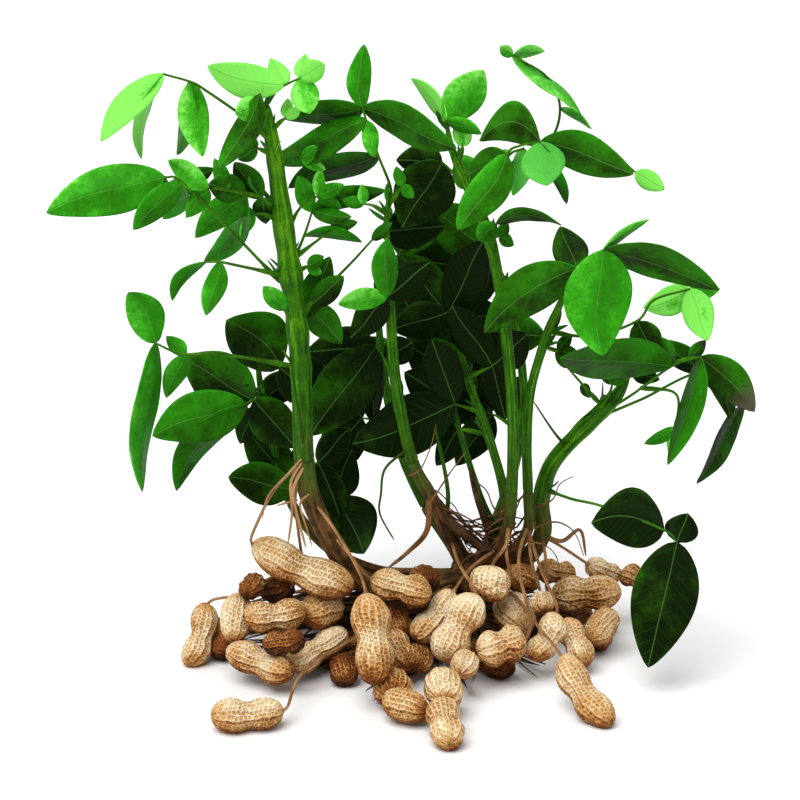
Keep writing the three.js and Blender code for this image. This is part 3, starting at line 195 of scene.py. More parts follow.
LEAVES: dict[str, tuple[Leaf, ...]] = {
    "stem_right": (
        Leaf("bmddb", ((572, 278, -22), (577, 268, -30), (603, 250, -38)), ((2, 602, 356, 65, -8, -5),
            (1, 484, 333, 46, 4, -7), (2, 719, 290, 32, 8, -3), (1, 560, 226, 34, 16),
            (2, 649, 219, 9, 4, -2))),
        Leaf("llbd", ((549, 332, -8), (592, 336, 6), (637, 321, 10), (654, 300, 10), (690, 289, 8)), (
            (4, 708, 341, 32, -8), (4, 643, 308, 30, 8, 4), (4, 720, 289, 24, 14),
            (2, 656, 358, 32, -10))),
    ),
    "stem_left": (
        Leaf("mmddm", ((280, 282, -5), (232, 232, -16), (182, 182, -26), (165, 177, -28)), (
            (3, 46, 213, 48, -4, -6), (2, 133, 230, 26, -14), (2, 214, 168, 18, 12),
            (3, 143, 198, 28, 16), (2, 163, 219, 26, 8))),
        Leaf("dmmdd", ((276, 208, -2), (262, 198, -12), (246, 192, -16)), ((2, 208, 184, 28, -4),
            (2, 195, 238, 30, 8), (2, 204, 262, 24, 14, 4), (1, 234, 162, 26, -6), (1, 266, 224, 22, 8))),
        Leaf("bbd", ((294, 366, -6), (220, 354, -20), (182, 354, -26), (155, 343, -28)), (
            (3, 128, 292, 36, -10, -5), (3, 142, 492, 24, -12, 8), (3, 160, 306, 14, 10))),
        Leaf("lbml", ((269, 140, 0), (248, 120, -8), (205, 90, -16), (191, 82, -18), (163, 74, -20)), (
            (4, 101, 142, 27, -12, -10), (3, 203, 157, 30, -6, -3), (3, 177, 155, 17, 10, -3),
            (4, 141, 159, 12, 8, -2))),
        Leaf("llbll", ((264, 108, 2), (275, 92, -4), (285, 85, -8), (300, 78, -8)), (
            (2, 207, 66, 34, -8, 5), (3, 325, 64, 22, -10), (3, 310, 114, 28, -14), (2, 270, 58, 20, 14),
            (3, 306, 54, 16, 14))),
        Leaf("db", ((267, 124, 0), (263, 104, -10), (260, 94, -14)), ((2, 218, 170, 26, -10),
            (1, 235, 114, 24, 4))),
        Leaf("mm", ((286, 276, -5), (240, 266, -22), (220, 262, -28), (205, 262, -30)), (
            (2, 206, 316, 22, -10), (3, 172, 301, 13, 6, -4))),
        Leaf("b", ((296, 330, -6), (286, 310, -14)), ((1, 263, 286, 19, -6),)),
        Leaf("dmmd", ((289, 272, -5), (304, 236, 4), (312, 212, 8)), ((2, 386, 190, 22, 4),
            (2, 298, 176, 20, -8), (1, 362, 242, 12, 10, 2), (2, 352, 217, 16, -4))),
        Leaf("dmd", ((295, 334, -6), (304, 318, 0), (310, 306, 2)), ((1, 330, 256, 30, 6),
            (2, 342, 344, 32, 8), (2, 344, 276, 24, -8))),
    ),
    "stem_centre_left": (
        Leaf("dmddmd", ((387, 212, 16), (391, 190, 12), (378, 155, 4), (366, 120, -4), (363, 108, -6)), (
            (4, 457, 148, 34, -14, -4), (4, 364, 44, 24, 6, 6), (3, 268, 162, 32, -10, -3),
            (4, 284, 119, 26, 12, 5), (3, 375, 158, 17, -10), (2, 288, 188, 28, 18, 4))),
        Leaf("dkkk", ((399, 400, 17), (385, 360, 26), (376, 346, 30)), ((2, 310, 436, 60, -8),
            (2, 374, 424, 30, 6), (2, 306, 352, 46, 10), (1, 412, 342, 30, -14))),
        Leaf("bldk", ((390, 306, 14), (387, 297, 4)), ((1, 387, 238, 26, -10), (1, 338, 304, 22, -10),
            (1, 350, 338, 34, 10), (1, 430, 262, 36, 10))),
        Leaf("k", ((387, 222, 16), (380, 232, 22)), ((1, 446, 226, 40, 8),)),
    ),
    "stem_centre_right": (
        Leaf("blm", ((448, 130, 6), (446, 121, 2)), ((1, 484, 70, 38, -10), (1, 411, 78, 15, 12),
            (1, 482, 134, 14, -12))),
        Leaf("dpdmdd", ((484, 222, 3), (489, 188, -10), (507, 154, -20), (519, 146, -24),
            (540, 142, -26)), ((4, 634, 174, 38, -4, 1), (4, 547, 186, 42, -12),
            (4, 479, 141, 40, 12, -19), (2, 457, 230, 37, -14, 4), (4, 567, 204, 14, 14, -5),
            (2, 466, 176, 30, 16))),
        Leaf("bbbb", ((474, 202, 4), (504, 168, 24), (548, 142, 30), (560, 108, 28), (546, 76, 24),
            (512, 56, 22)), ((5, 545, 51, 12, 12), (5, 581, 115, 13, -8, 9), (3, 592, 129, 8, -12),
            (5, 500, 46, 12, -6))),
        Leaf("l", ((476, 206, 4), (512, 176, 36), (556, 150, 40), (604, 148, 30), (635, 172, 18)), (
            (4, 665, 190, 20, -4),)),
        Leaf("db", ((489, 242, 2), (496, 224, -8)), ((1, 562, 225, 13, -14, 5), (1, 478, 240, 22, -12))),
        Leaf("kkb", ((473, 197, 4), (452, 172, 18), (442, 162, 22)), ((2, 402, 228, 60, 6),
            (2, 396, 160, 36, 12), (1, 486, 172, 34, 12))),
    ),
    "stem_far_right": (
        Leaf("wmmd", ((582, 425, 22), (630, 396, 8), (672, 366, 0), (700, 357, -4)), (
            (3, 755, 412, 38, -8, 4), (2, 560, 358, 42, 10, 6), (3, 668, 465, 24, -16, -3),
            (2, 646, 336, 30, 14))),
        Leaf("dd", ((583, 424, 22), (640, 400, 26), (705, 372, 28), (744, 404, 26)), (
            (3, 697, 484, 20, -6, -5), (2, 652, 340, 26, 10))),
        Leaf("dd", ((620, 388, 14), (632, 372, 10)), ((1, 602, 370, 18, -10), (1, 660, 380, 18, -10))),
        Leaf("kkk", ((547, 490, 33), (572, 499, 14), (605, 507, -8), (664, 530, -26), (677, 542, -30)), (
            (4, 648, 668, 66, -10), (3, 591, 523, 60, 8, -10), (4, 688, 513, 34, 6))),
    ),
    "stem_left_back": (
        Leaf("mmddk", ((263, 402, 45), (254, 400, 34), (246, 404, 28)), ((2, 152, 436, 54, -12, -3),
            (2, 176, 491, 32, 8, -4), (1, 182, 358, 60, 10), (1, 296, 448, 44, -6),
            (0, 298, 370, 34, 4))),
        Leaf("dk", ((258, 370, 43), (280, 368, 34)), ((1, 226, 320, 62, -6, -8), (1, 318, 404, 40, 8))),
        Leaf("dd", ((284, 480, 46), (295, 489, 36)), ((1, 228, 477, 44, -12), (1, 244, 426, 44, 10))),
        Leaf("kk", ((286, 489, 46), (318, 490, 38), (332, 498, 34)), ((2, 364, 554, 60, -12, 4),
            (2, 352, 450, 40, 10))),
    ),
    "stem_centre": (
        Leaf("kkk", ((480, 412, 38), (455, 404, 30)), ((1, 352, 444, 62, -6, 4), (1, 404, 372, 46, 14),
            (1, 432, 340, 40, -12))),
        Leaf("dkdk", ((453, 326, 44), (448, 312, 38)), ((1, 398, 254, 46, 8), (1, 484, 240, 46, -10),
            (1, 392, 330, 40, -12), (1, 508, 320, 40, 12))),
        Leaf("kkk", ((467, 378, 40), (492, 366, 34)), ((1, 528, 334, 40, -6), (1, 506, 420, 34, 10),
            (1, 452, 306, 40, -14))),
    ),
    "stem_back_left": (
        Leaf("dkk", ((377, 292, 95), (392, 266, 90), (398, 254, 88)), ((2, 446, 176, 56, 4),
            (2, 476, 272, 50, 6), (1, 418, 334, 48, -8))),
        Leaf("kkk", ((383, 360, 92), (400, 348, 100), (408, 344, 102)), ((2, 470, 300, 50, 10),
            (2, 478, 388, 52, -6), (1, 314, 384, 54, 12))),
        Leaf("kkk", ((396, 430, 87), (372, 420, 96), (362, 418, 98)), ((2, 312, 346, 54, 6),
            (2, 318, 474, 50, -4), (1, 434, 436, 44, 12))),
    ),
    "stem_back_right": (
        Leaf("dk", ((508, 288, 96), (496, 262, 90), (492, 254, 88)), ((2, 430, 206, 54, 6),
            (1, 446, 306, 50, -8))),
        Leaf("kdk", ((520, 360, 93), (508, 340, 100), (502, 332, 102)), ((2, 430, 330, 54, 6),
            (2, 546, 336, 40, -6), (1, 452, 400, 48, 12))),
        Leaf("kkk", ((521, 432, 88), (500, 418, 96), (492, 414, 98)), ((2, 430, 380, 52, 6),
            (2, 456, 466, 38, -4), (1, 520, 376, 34, 12))),
    ),
}

PODS: tuple[Pod, ...] = (
    Pod("pod_far_right_back", (622, 573), (652, 590), 24, -8, 2, 3),
    Pod("pod_far_right", (588, 564), (620, 577), 22, 14, 2),
    Pod("pod_behind_right", (538, 568), (574, 576), 28, 8, 2),
    Pod("pod_behind_centre", (510, 570), (536, 582), 26, 10, 1),
    Pod("pod_dark_left", (291, 588), (263, 592), 24, 18, 1),
    Pod("pod_brown_left", (256, 578), (247, 592), 22, -20, 2),
    Pod("pod_deep_centre", (418, 572), (434, 582), 24, -18, 1),
    Pod("pod_dark_centre", (390, 602), (404, 640), 28, -14, 2),
    Pod("pod_dark_left_low", (304, 636), (264, 642), 26, 8, 2),
    Pod("pod_small_brown_left", (284, 634), (287, 654), 22, -16, 1),
    Pod("pod_brown_centre", (388, 632), (412, 669), 28, -18, 2),
    Pod("pod_dark_low", (352, 660), (358, 690), 26, -14, 1),
    Pod("pod_small_brown", (416, 652), (422, 674), 24, -18, 1),
    Pod("pod_left_low", (230, 654), (296, 678), 30, -22, 2, -3),
    Pod("pod_left_low_right", (348, 634), (289, 669), 28, -18, 2, 2),
    Pod("pod_left_end", (237, 594), (230, 642), 26, -16, 1),
    Pod("pod_far_left", (207, 602), (187, 665), 28, -18, 2, 4),
    Pod("pod_left_middle", (301, 612), (237, 619), 32, -6, 2, 2),
    Pod("pod_left_round", (340, 606), (304, 619), 33, -18, 1),
    Pod("pod_big_left", (252, 545), (353, 591), 38, -8, 2, -2),
    Pod("pod_centre_back", (371, 580), (432, 598), 31, -10, 2),
    Pod("pod_upright_centre", (366, 592), (376, 684), 37, -22, 2, 2),
    Pod("pod_centre_lean", (454, 590), (414, 640), 30, -16, 2, 3),
    Pod("pod_round_top", (492, 566), (486, 600), 37, -6, 1),
    Pod("pod_centre_front", (476, 596), (443, 663), 39, -16, 2, -2),
    Pod("pod_round_right", (506, 600), (524, 626), 36, -22, 1),
    Pod("pod_small_right", (541, 592), (545, 613), 20, -10, 1),
    Pod("pod_front_right", (526, 640), (477, 653), 35, -8, 2),
    Pod("pod_small_light", (472, 654), (461, 676), 24, -12, 1),
    Pod("pod_curved_right", (557, 614), (530, 660), 29, -14, 2, 5),
    Pod("pod_right_lower", (568, 618), (592, 666), 26, -18, 2),
    Pod("pod_right_edge", (612, 612), (590, 640), 26, -18, 1),
    Pod("pod_right", (552, 597), (621, 592), 36, -6, 2),
    Pod("pod_front_far_right", (562, 657), (612, 724), 31, -34, 2, -4),
    Pod("pod_brown_front", (394, 682), (398, 702), 32, -20, 1),
    Pod("pod_round_front", (443, 678), (446, 704), 35, -22, 1),
    Pod("pod_front", (384, 702), (428, 712), 28, -10, 1),
    Pod("pod_front_end", (440, 710), (449, 752), 32, -30, 2),
    Pod("pod_front_left", (284, 712), (211, 717), 32, -6, 2, 2),
)

HIDDEN_PODS: tuple[HiddenPod, ...] = (
    HiddenPod("pod_back_1", 200, 42, 15),
    HiddenPod("pod_back_2", 130, 44, 16),
    HiddenPod("pod_back_3", 65, 40, 16),
    HiddenPod("pod_back_4", 100, 44, 15),
    HiddenPod("pod_back_5", 20, 38, 16),
    HiddenPod("pod_under_1", 80, 40, 15),
    HiddenPod("pod_under_2", 105, 42, 16),
    HiddenPod("pod_under_3", 30, 42, 16),
    HiddenPod("pod_under_4", 130, 40, 16),
)

PEGS: tuple[Peg, ...] = (
    Peg("pod_big_left", ((305, 462, -4), (284, 474, -12), (264, 500, -16), (258, 528, -16))),
    Peg("pod_dark_left", ((305, 470, -4), (291, 486, -8), (296, 515, -2), (300, 545, 6))),
    Peg("pod_upright_centre", ((312, 500, 0), (326, 516, -10), (344, 542, -16), (360, 572, -24))),
    Peg("pod_centre_back", ((330, 532, 6), (346, 552, -6), (362, 566, -10))),
    Peg("pod_centre_lean", ((496, 550, 30), (486, 556, 14), (466, 570, 4))),
    Peg("pod_centre_front", ((452, 540, 34), (453, 555, 12), (466, 580, -6))),
    Peg("pod_round_top", ((508, 525, 18), (512, 540, 4), (500, 556, -2))),
    Peg("pod_round_right", ((508, 527, 18), (504, 550, 0), (503, 578, -6))),
    Peg("pod_small_right", ((528, 528, 30), (529, 555, 10), (535, 578, 2))),
    Peg("pod_front_right", ((528, 526, 30), (518, 548, 4), (514, 575, -14), (532, 606, -18))),
    Peg("pod_curved_right", ((528, 528, 30), (536, 560, 8), (548, 588, -4))),
    Peg("pod_right", ((542, 536, 40), (548, 560, 24), (546, 584, 6))),
    Peg("pod_front_left", ((470, 574, 40), (400, 612, 8), (330, 650, -20), (300, 668, -34),
        (289, 690, -60))),
    Peg("pod_front_far_right", ((470, 574, 40), (520, 614, 10), (552, 642, -16))),
    Peg("pod_far_left", (HEAD, (340, 590, 36), (232, 598, 12))),
    Peg("pod_far_right", ((542, 536, 40), (562, 545, 46))),
)

YOUNG_LEAVES: dict[str, tuple[Leaf, ...]] = {
    "stem_left": (
        Leaf("ll", ((269, 134, 0), (280, 122, -2), (286, 118, -2)), ((2, 300, 108, 12, -4),
            (2, 288, 98, 12, 2))),
        Leaf("dd", ((273, 156, 0), (262, 150, -6), (257, 148, -8)), ((2, 238, 160, 16, -4),
            (2, 244, 140, 14, 4))),
        Leaf("bmmb", ((258, 196, -12), (228, 190, -20), (208, 188, -24)), ((2, 168, 160, 22, -6),
            (2, 186, 218, 20, 4), (1, 214, 158, 16, 6), (2, 180, 190, 16, 6))),
        Leaf("mb", ((290, 276, -3), (304, 268, 2), (308, 266, 2)), ((2, 324, 256, 14, 2),
            (2, 322, 274, 12, 2))),
        Leaf("mm", ((294, 366, -6), (220, 354, -20), (186, 354, -24)), ((2, 166, 336, 16, 4),
            (2, 166, 398, 22, 6))),
        Leaf("mbm", ((285, 236, -2), (300, 208, 2), (318, 196, 4)), ((2, 344, 184, 15, 2),
            (2, 320, 168, 13, 4), (2, 342, 208, 12, 6))),
        Leaf("md", ((289, 262, -3), (318, 240, 6), (334, 228, 8)), ((2, 358, 222, 12, 4),
            (2, 336, 206, 10, 4))),
        Leaf("bm", ((272, 160, -1), (290, 150, 2), (302, 158, 4)), ((2, 326, 170, 13, 4),
            (2, 318, 146, 12, 2))),
        Leaf("mb", ((281, 222, -2), (264, 214, -8), (254, 214, -10)), ((2, 228, 206, 13, 2),
            (2, 240, 238, 12, 2))),
        Leaf("m", ((296, 318, 0), (330, 284, 6), (352, 262, 10), (372, 240, 12)), (
            (3, 392, 222, 12, 2),)),
    ),
    "stem_centre_right": (
        Leaf("pb", ((489, 200, 2), (507, 158, -16), (524, 148, -22)), ((2, 513, 196, 20, 8),
            (1, 498, 152, 14, 4))),
        Leaf("bm", ((488, 238, 2), (496, 236, -2), (500, 236, -2)), ((2, 514, 246, 13, 0),
            (2, 508, 222, 12, 2))),
        Leaf("bl", ((458, 166, 6), (462, 150, 2), (462, 146, 2)), ((2, 456, 122, 13, 2),
            (2, 470, 128, 12, 2))),
    ),
    "stem_right": (
        Leaf("mm", ((543, 346, -6), (554, 350, -4), (558, 350, -4)), ((2, 580, 356, 15, 2),
            (2, 572, 334, 13, 2))),
    ),
    "stem_far_right": (
        Leaf("mbm", ((600, 404, 16), (582, 384, 8), (568, 368, 4)), ((2, 556, 348, 13, 2),
            (2, 586, 356, 14, 4), (1, 590, 398, 11, 2))),
        Leaf("ml", ((640, 388, 10), (676, 394, 2), (676, 428, 0)), ((2, 644, 444, 13, 2),
            (2, 668, 452, 12, 2))),
        Leaf("dw", ((630, 376, 12), (690, 358, 4), (708, 364, 2)), ((2, 731, 420, 22, 4),
            (1, 706, 340, 14, 4))),
        Leaf("mb", ((598, 412, 18), (610, 392, 10), (612, 384, 8)), ((2, 600, 368, 11, 2),
            (2, 628, 374, 11, 2))),
    ),
    "stem_left_back": (
        Leaf("kkk", ((286, 489, 46), (304, 470, 34), (318, 462, 28)), ((2, 342, 524, 30, 4),
            (2, 350, 428, 32, 6), (1, 300, 440, 26, 6))),
        Leaf("kd", ((260, 392, 44), (256, 402, 36), (254, 408, 34)), ((2, 240, 444, 26, 4),
            (2, 270, 446, 24, 4))),
    ),
    "stem_centre": (
        Leaf("kk", ((488, 434, 38), (466, 430, 34), (458, 430, 34)), ((2, 436, 466, 26, 4),
            (2, 440, 404, 28, 4))),
    ),
    "stem_centre_left": (
        Leaf("bm", ((390, 204, 15), (398, 192, 10), (402, 186, 8)), ((2, 414, 198, 12, 0),
            (2, 396, 166, 12, 4))),
        Leaf("mb", ((389, 216, 15), (374, 206, 8), (364, 204, 6)), ((2, 342, 200, 13, 2),
            (2, 362, 184, 11, 2))),
    ),
}

PALE_TWIGS: tuple[Thread, ...] = (
    Thread(0.9, 0.6, ((302, 462, -8), (291, 482, -11), (292, 512, -15), (288, 544, -18))),
    Thread(1.0, 0.6, ((304, 466, -8), (293, 490, -12), (297, 514, -16), (306, 548, -19))),
    Thread(0.7, 0.4, ((309, 494, -8), (300, 504, -14), (306, 526, -18), (312, 546, -19))),
    Thread(0.6, 0.3, ((304, 456, -8), (286, 476, -12), (268, 496, -16), (262, 520, -18))),
    Thread(0.8, 0.5, ((298, 500, -12), (286, 503, -14), (276, 506, -16))),
)

TWIGS: tuple[Thread, ...] = (
    Thread(0.6, 0.3, ((408, 476, 12), (420, 470, 4), (431, 446, 0), (436, 424, 0))),
    Thread(0.7, 0.3, ((424, 512, 14), (436, 494, 8), (452, 470, 6), (466, 452, 6))),
    Thread(0.55, 0.25, ((532, 508, 24), (552, 500, 14), (560, 484, 8), (574, 476, 4))),
    Thread(0.6, 0.3, ((534, 528, 24), (556, 522, 12), (574, 532, 4), (584, 556, 0))),
    Thread(0.5, 0.25, ((522, 540, 20), (544, 545, 6), (556, 556, -2), (560, 574, -6))),
    Thread(0.5, 0.25, ((500, 536, 20), (488, 548, 6), (470, 556, 0), (452, 572, -4))),
    Thread(0.6, 0.3, ((508, 520, 22), (494, 508, 16), (486, 490, 12), (470, 478, 10))),
)

SHOOTS: dict[str, tuple[Thread, ...]] = {
    "stem_centre": (
        Thread(2.0, 1.3, ((500, 535, 36), (485, 508, 32), (474, 478, 32), (461, 436, 34),
            (452, 400, 38))),
    ),
    "stem_centre_left": (
        Thread(1.3, 0.9, ((446, 520, 30), (448, 494, 27), (443, 462, 28), (435, 428, 30))),
        Thread(0.8, 0.4, ((406, 450, 18), (385, 469, 10), (381, 494, 6), (380, 514, 4), (394, 540, 2))),
    ),
    "stem_far_right": (
        Thread(0.9, 0.4, ((567, 447, 25), (557, 436, 16), (547, 422, 8), (534, 402, 2))),
    ),
    "stem_left": (
        Thread(0.9, 0.5, ((304, 452, -6), (300, 420, -14), (292, 372, -16))),
    ),
}

SIDE_ROOTS: tuple[Thread, ...] = (
    Thread(1.5, 0.7, ((542, 535, 40), (562, 541, 38), (580, 530, 36), (586, 556, 36))),
    Thread(1.8, 0.7, ((429, 494, 24), (427, 530, 14), (408, 552, 10), (388, 568, 6))),
    Thread(3.4, 2.2, ((440, 515, 28), (462, 532, 22), (488, 552, 24))),
    Thread(2.2, 1.2, ((496, 550, 30), (478, 500, 22), (470, 468, 20))),
)

# Geometry


@dataclass(frozen=True)
class PictureView:
    """The view from the front that the plans are written in."""

    mm_per_pixel: float = 0.5
    reach: float = 1200.0
    down_degrees: float = 18.0
    aim_height: float = 145.0
    centre_pixel: float = 400.0
    lens: float = 108.0

    @property
    def forward(self) -> Array:
        """Unit vector along the line of sight."""
        down = math.radians(self.down_degrees)
        return np.array([0.0, math.cos(down), -math.sin(down)])

    @property
    def upward(self) -> Array:
        """Unit vector up the picture."""
        return np.array([0.0, -self.forward[2], self.forward[1]])

    @property
    def eye(self) -> Array:
        """Where the view is taken from, in millimetres."""
        return np.array([0.0, 0.0, self.aim_height]) - self.reach * self.forward

    def seen(self, x: float, y: float, depth: Numbers) -> Array:
        """Turns a place in the picture into millimetres.

        Args:
            x: Pixels from the picture's left edge.
            y: Pixels from the picture's top edge.
            depth: Millimetres behind the middle, one number or an array of them.

        Returns:
            One point, or a row for each depth.
        """
        scale = self.mm_per_pixel / self.reach
        ray = self.forward + self.upward * (self.centre_pixel - y) * scale
        ray = ray + np.array([(x - self.centre_pixel) * scale, 0.0, 0.0])
        times = (np.asarray(depth, float) - self.eye[1]) / ray[1]
        return self.eye + times[..., None] * ray


VIEW = PictureView()


def unit(vector: Array) -> Array:
    """The same direction with a length of one."""
    return vector / max(np.linalg.norm(vector), 1e-9)


class SmoothPath:
    """A smooth curve through points, in millimetres."""

    def __init__(self, points: Iterable[Array]) -> None:
        """Keeps the points and a mirrored one past each end."""
        inner = np.array(list(points), float)
        self.spans = len(inner) - 1
        self.points = np.vstack([2 * inner[0] - inner[1], inner, 2 * inner[-1] - inner[-2]])

    def at(self, u: Numbers) -> Array:
        """Points at shares of the route from 0 to 1.

        Args:
            u: One share or an array of them.

        Returns:
            One point, or a row for each share.
        """
        place = np.clip(np.asarray(u, float), 0, 1) * self.spans
        index = np.minimum(place.astype(int), self.spans - 1)
        w = (place - index)[..., None]
        p0, p1, p2, p3 = (self.points[index + k] for k in range(4))
        start, end = (p2 - p0) / 2, (p3 - p1) / 2
        return (p1 + start * w + (3 * (p2 - p1) - 2 * start - end) * w**2
                + (2 * (p1 - p2) + start + end) * w**3)

    def tangent(self, u: float) -> Array:
        """Direction of travel at a share of the route."""
        step = 1e-4
        return unit(self.at(min(1.0, u + step)) - self.at(max(0.0, u - step)))

    def length(self) -> float:
        """Length of the curve in millimetres."""
        fine = self.at(np.linspace(0, 1, 201))
        return float(np.linalg.norm(np.diff(fine, axis=0), axis=1).sum())

    def shares(self, step: float, least: int, start: float = 0.0, end: float = 1.0) -> Array:
        """Shares of the route, from a start to an end, about a step in millimetres apart."""
        count = max(least, int(self.length() * (end - start) / step))
        return np.linspace(start, end, count)


def seen_path(route: Iterable[Place]) -> SmoothPath:
    """The curve through places in the picture."""
    return SmoothPath(VIEW.seen(*place) for place in route)


def to_metres(points: Array) -> Array:
    """Moves millimetres of the picture's frame into metres of the part's frame."""
    return (np.asarray(points, float) - PLAN_CENTRE) * MILLIMETRE


def to_millimetres(points: Array) -> Array:
    """Moves metres of the part's frame into millimetres of the picture's frame."""
    return np.asarray(points, float) / MILLIMETRE + PLAN_CENTRE


def net_shares(along: Array, across: Array) -> tuple[Array, Array]:
    """Shares along and across of a net's points, which start and end in a single point."""
    first, second = (grid.ravel() for grid in np.meshgrid(along, across, indexing="ij"))
    return np.concatenate([[0.0], first, [1.0]]), np.concatenate([[0.0], second, [0.0]])


def net_faces(rows: int, width: int, closed: bool) -> list[tuple[int, ...]]:
    """Faces of a net's rows of points and of the single points at its ends.

    Args:
        rows: Number of rows.
        width: Points in a row.
        closed: Whether each row is a ring.

    Returns:
        Corners of each face.
    """
    last = 1 + rows * width
    pairs = [(j, (j + 1) % width) for j in range(width if closed else width - 1)]
    faces = [(0, 1 + b, 1 + a) for a, b in pairs]
    for near in range(1, last - width, width):
        far = near + width
        faces += [(near + a, near + b, far + b, far + a) for a, b in pairs]
    return faces + [(last - width + a, last - width + b, last) for a, b in pairs]


@dataclass
class Sheet:
    """A mesh that is being gathered: points, faces or edges, and attributes of its points."""

    points: list[Array] = field(default_factory=list)
    faces: list[tuple[int, ...]] = field(default_factory=list)
    edges: list[tuple[int, int]] = field(default_factory=list)
    attributes: dict[str, list[float]] = field(default_factory=dict)

    def add(self, points: Array, faces: Iterable[tuple[int, ...]] = (),
            edges: Iterable[tuple[int, int]] = (), **attributes: Numbers) -> None:
        """Adds a patch.

        Args:
            points: Rows of millimetres in the picture's frame.
            faces: Corners of each face, counted from the patch's first point.
            edges: Ends of each edge, counted likewise.
            **attributes: A number for each point, or one for all, by name.
        """
        base = len(self.points)
        self.points.extend(points)
        self.faces.extend(tuple(base + c for c in face) for face in faces)
        self.edges.extend((base + a, base + b) for a, b in edges)
        for name, values in attributes.items():
            self.attributes.setdefault(name, []).extend(np.broadcast_to(values, len(points)).tolist())

    def add_thread(self, points: Array, radius: Array, glow: Numbers, turned: Numbers = 0.0) -> None:
        """Adds a chain of edges with its girth, its paleness and how far its colour turns."""
        chain = [(i, i + 1) for i in range(len(points) - 1)]
        self.add(points, edges=chain, girth=radius * MILLIMETRE, glow=glow, turned=turned)

    def build(self, name: str) -> Piece:
        """Makes the mesh and its object, in metres.

        Args:
            name: Name of the piece.

        Returns:
            The object, linked to the scene.
        """
        mesh = bpy.data.meshes.new(name)
        mesh.from_pydata(to_metres(np.array(self.points)).tolist(), self.edges, self.faces)
        for key, values in self.attributes.items():
            layer = mesh.attributes.new(key, "FLOAT", "POINT")
            layer.data.foreach_set("value", np.array(values, np.float32))
        mesh.update()
        piece = bpy.data.objects.new(name, mesh)
        bpy.context.scene.collection.objects.link(piece)
        return piece


def keep_above_floor(piece: Piece) -> None:
    """Flattens what would reach below the floor.

    Args:
        piece: The finished piece.
    """
    places = np.empty(len(piece.data.vertices) * 3, np.float32)
    piece.data.vertices.foreach_get("co", places)
    places[2::3] = np.maximum(places[2::3], 0.0)
    piece.data.vertices.foreach_set("co", places)
    piece.data.update()


def hand_over(piece: Piece, node: str) -> Piece:
    """Keeps a piece above the floor and lets it stand for a CAD node.

    Args:
        piece: The finished piece.
        node: The node.

    Returns:
        The piece.
    """
    keep_above_floor(piece)
    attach(piece, "root")
    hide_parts(node)
    return piece


# Node graphs


class Wire:
    """A socket that sums and products add Math nodes to."""

    def __init__(self, graph: "Graph", socket: bpy.types.NodeSocket) -> None:
        """Keeps the graph and the socket."""
        self.graph = graph
        self.socket = socket

    def __add__(self, other: Value) -> "Wire":
        """The sum."""
        return self.graph.math("ADD", self, other)

    def __sub__(self, other: Value) -> "Wire":
        """The difference."""
        return self.graph.math("SUBTRACT", self, other)

    def __rsub__(self, other: Value) -> "Wire":
        """The difference, the other way round."""
        return self.graph.math("SUBTRACT", other, self)

    def __mul__(self, other: Value) -> "Wire":
        """The product."""
        return self.graph.math("MULTIPLY", self, other)

    def __truediv__(self, other: Value) -> "Wire":
        """The quotient."""
        return self.graph.math("DIVIDE", self, other)

    def __abs__(self) -> "Wire":
        """The size without its sign."""
        return self.graph.math("ABSOLUTE", self)

    def at_least(self, limit: Value) -> "Wire":
        """The number or the limit, whichever is greater."""
        return self.graph.math("MAXIMUM", self, limit)

    def at_most(self, limit: Value) -> "Wire":
        """The number or the limit, whichever is smaller."""
        return self.graph.math("MINIMUM", self, limit)


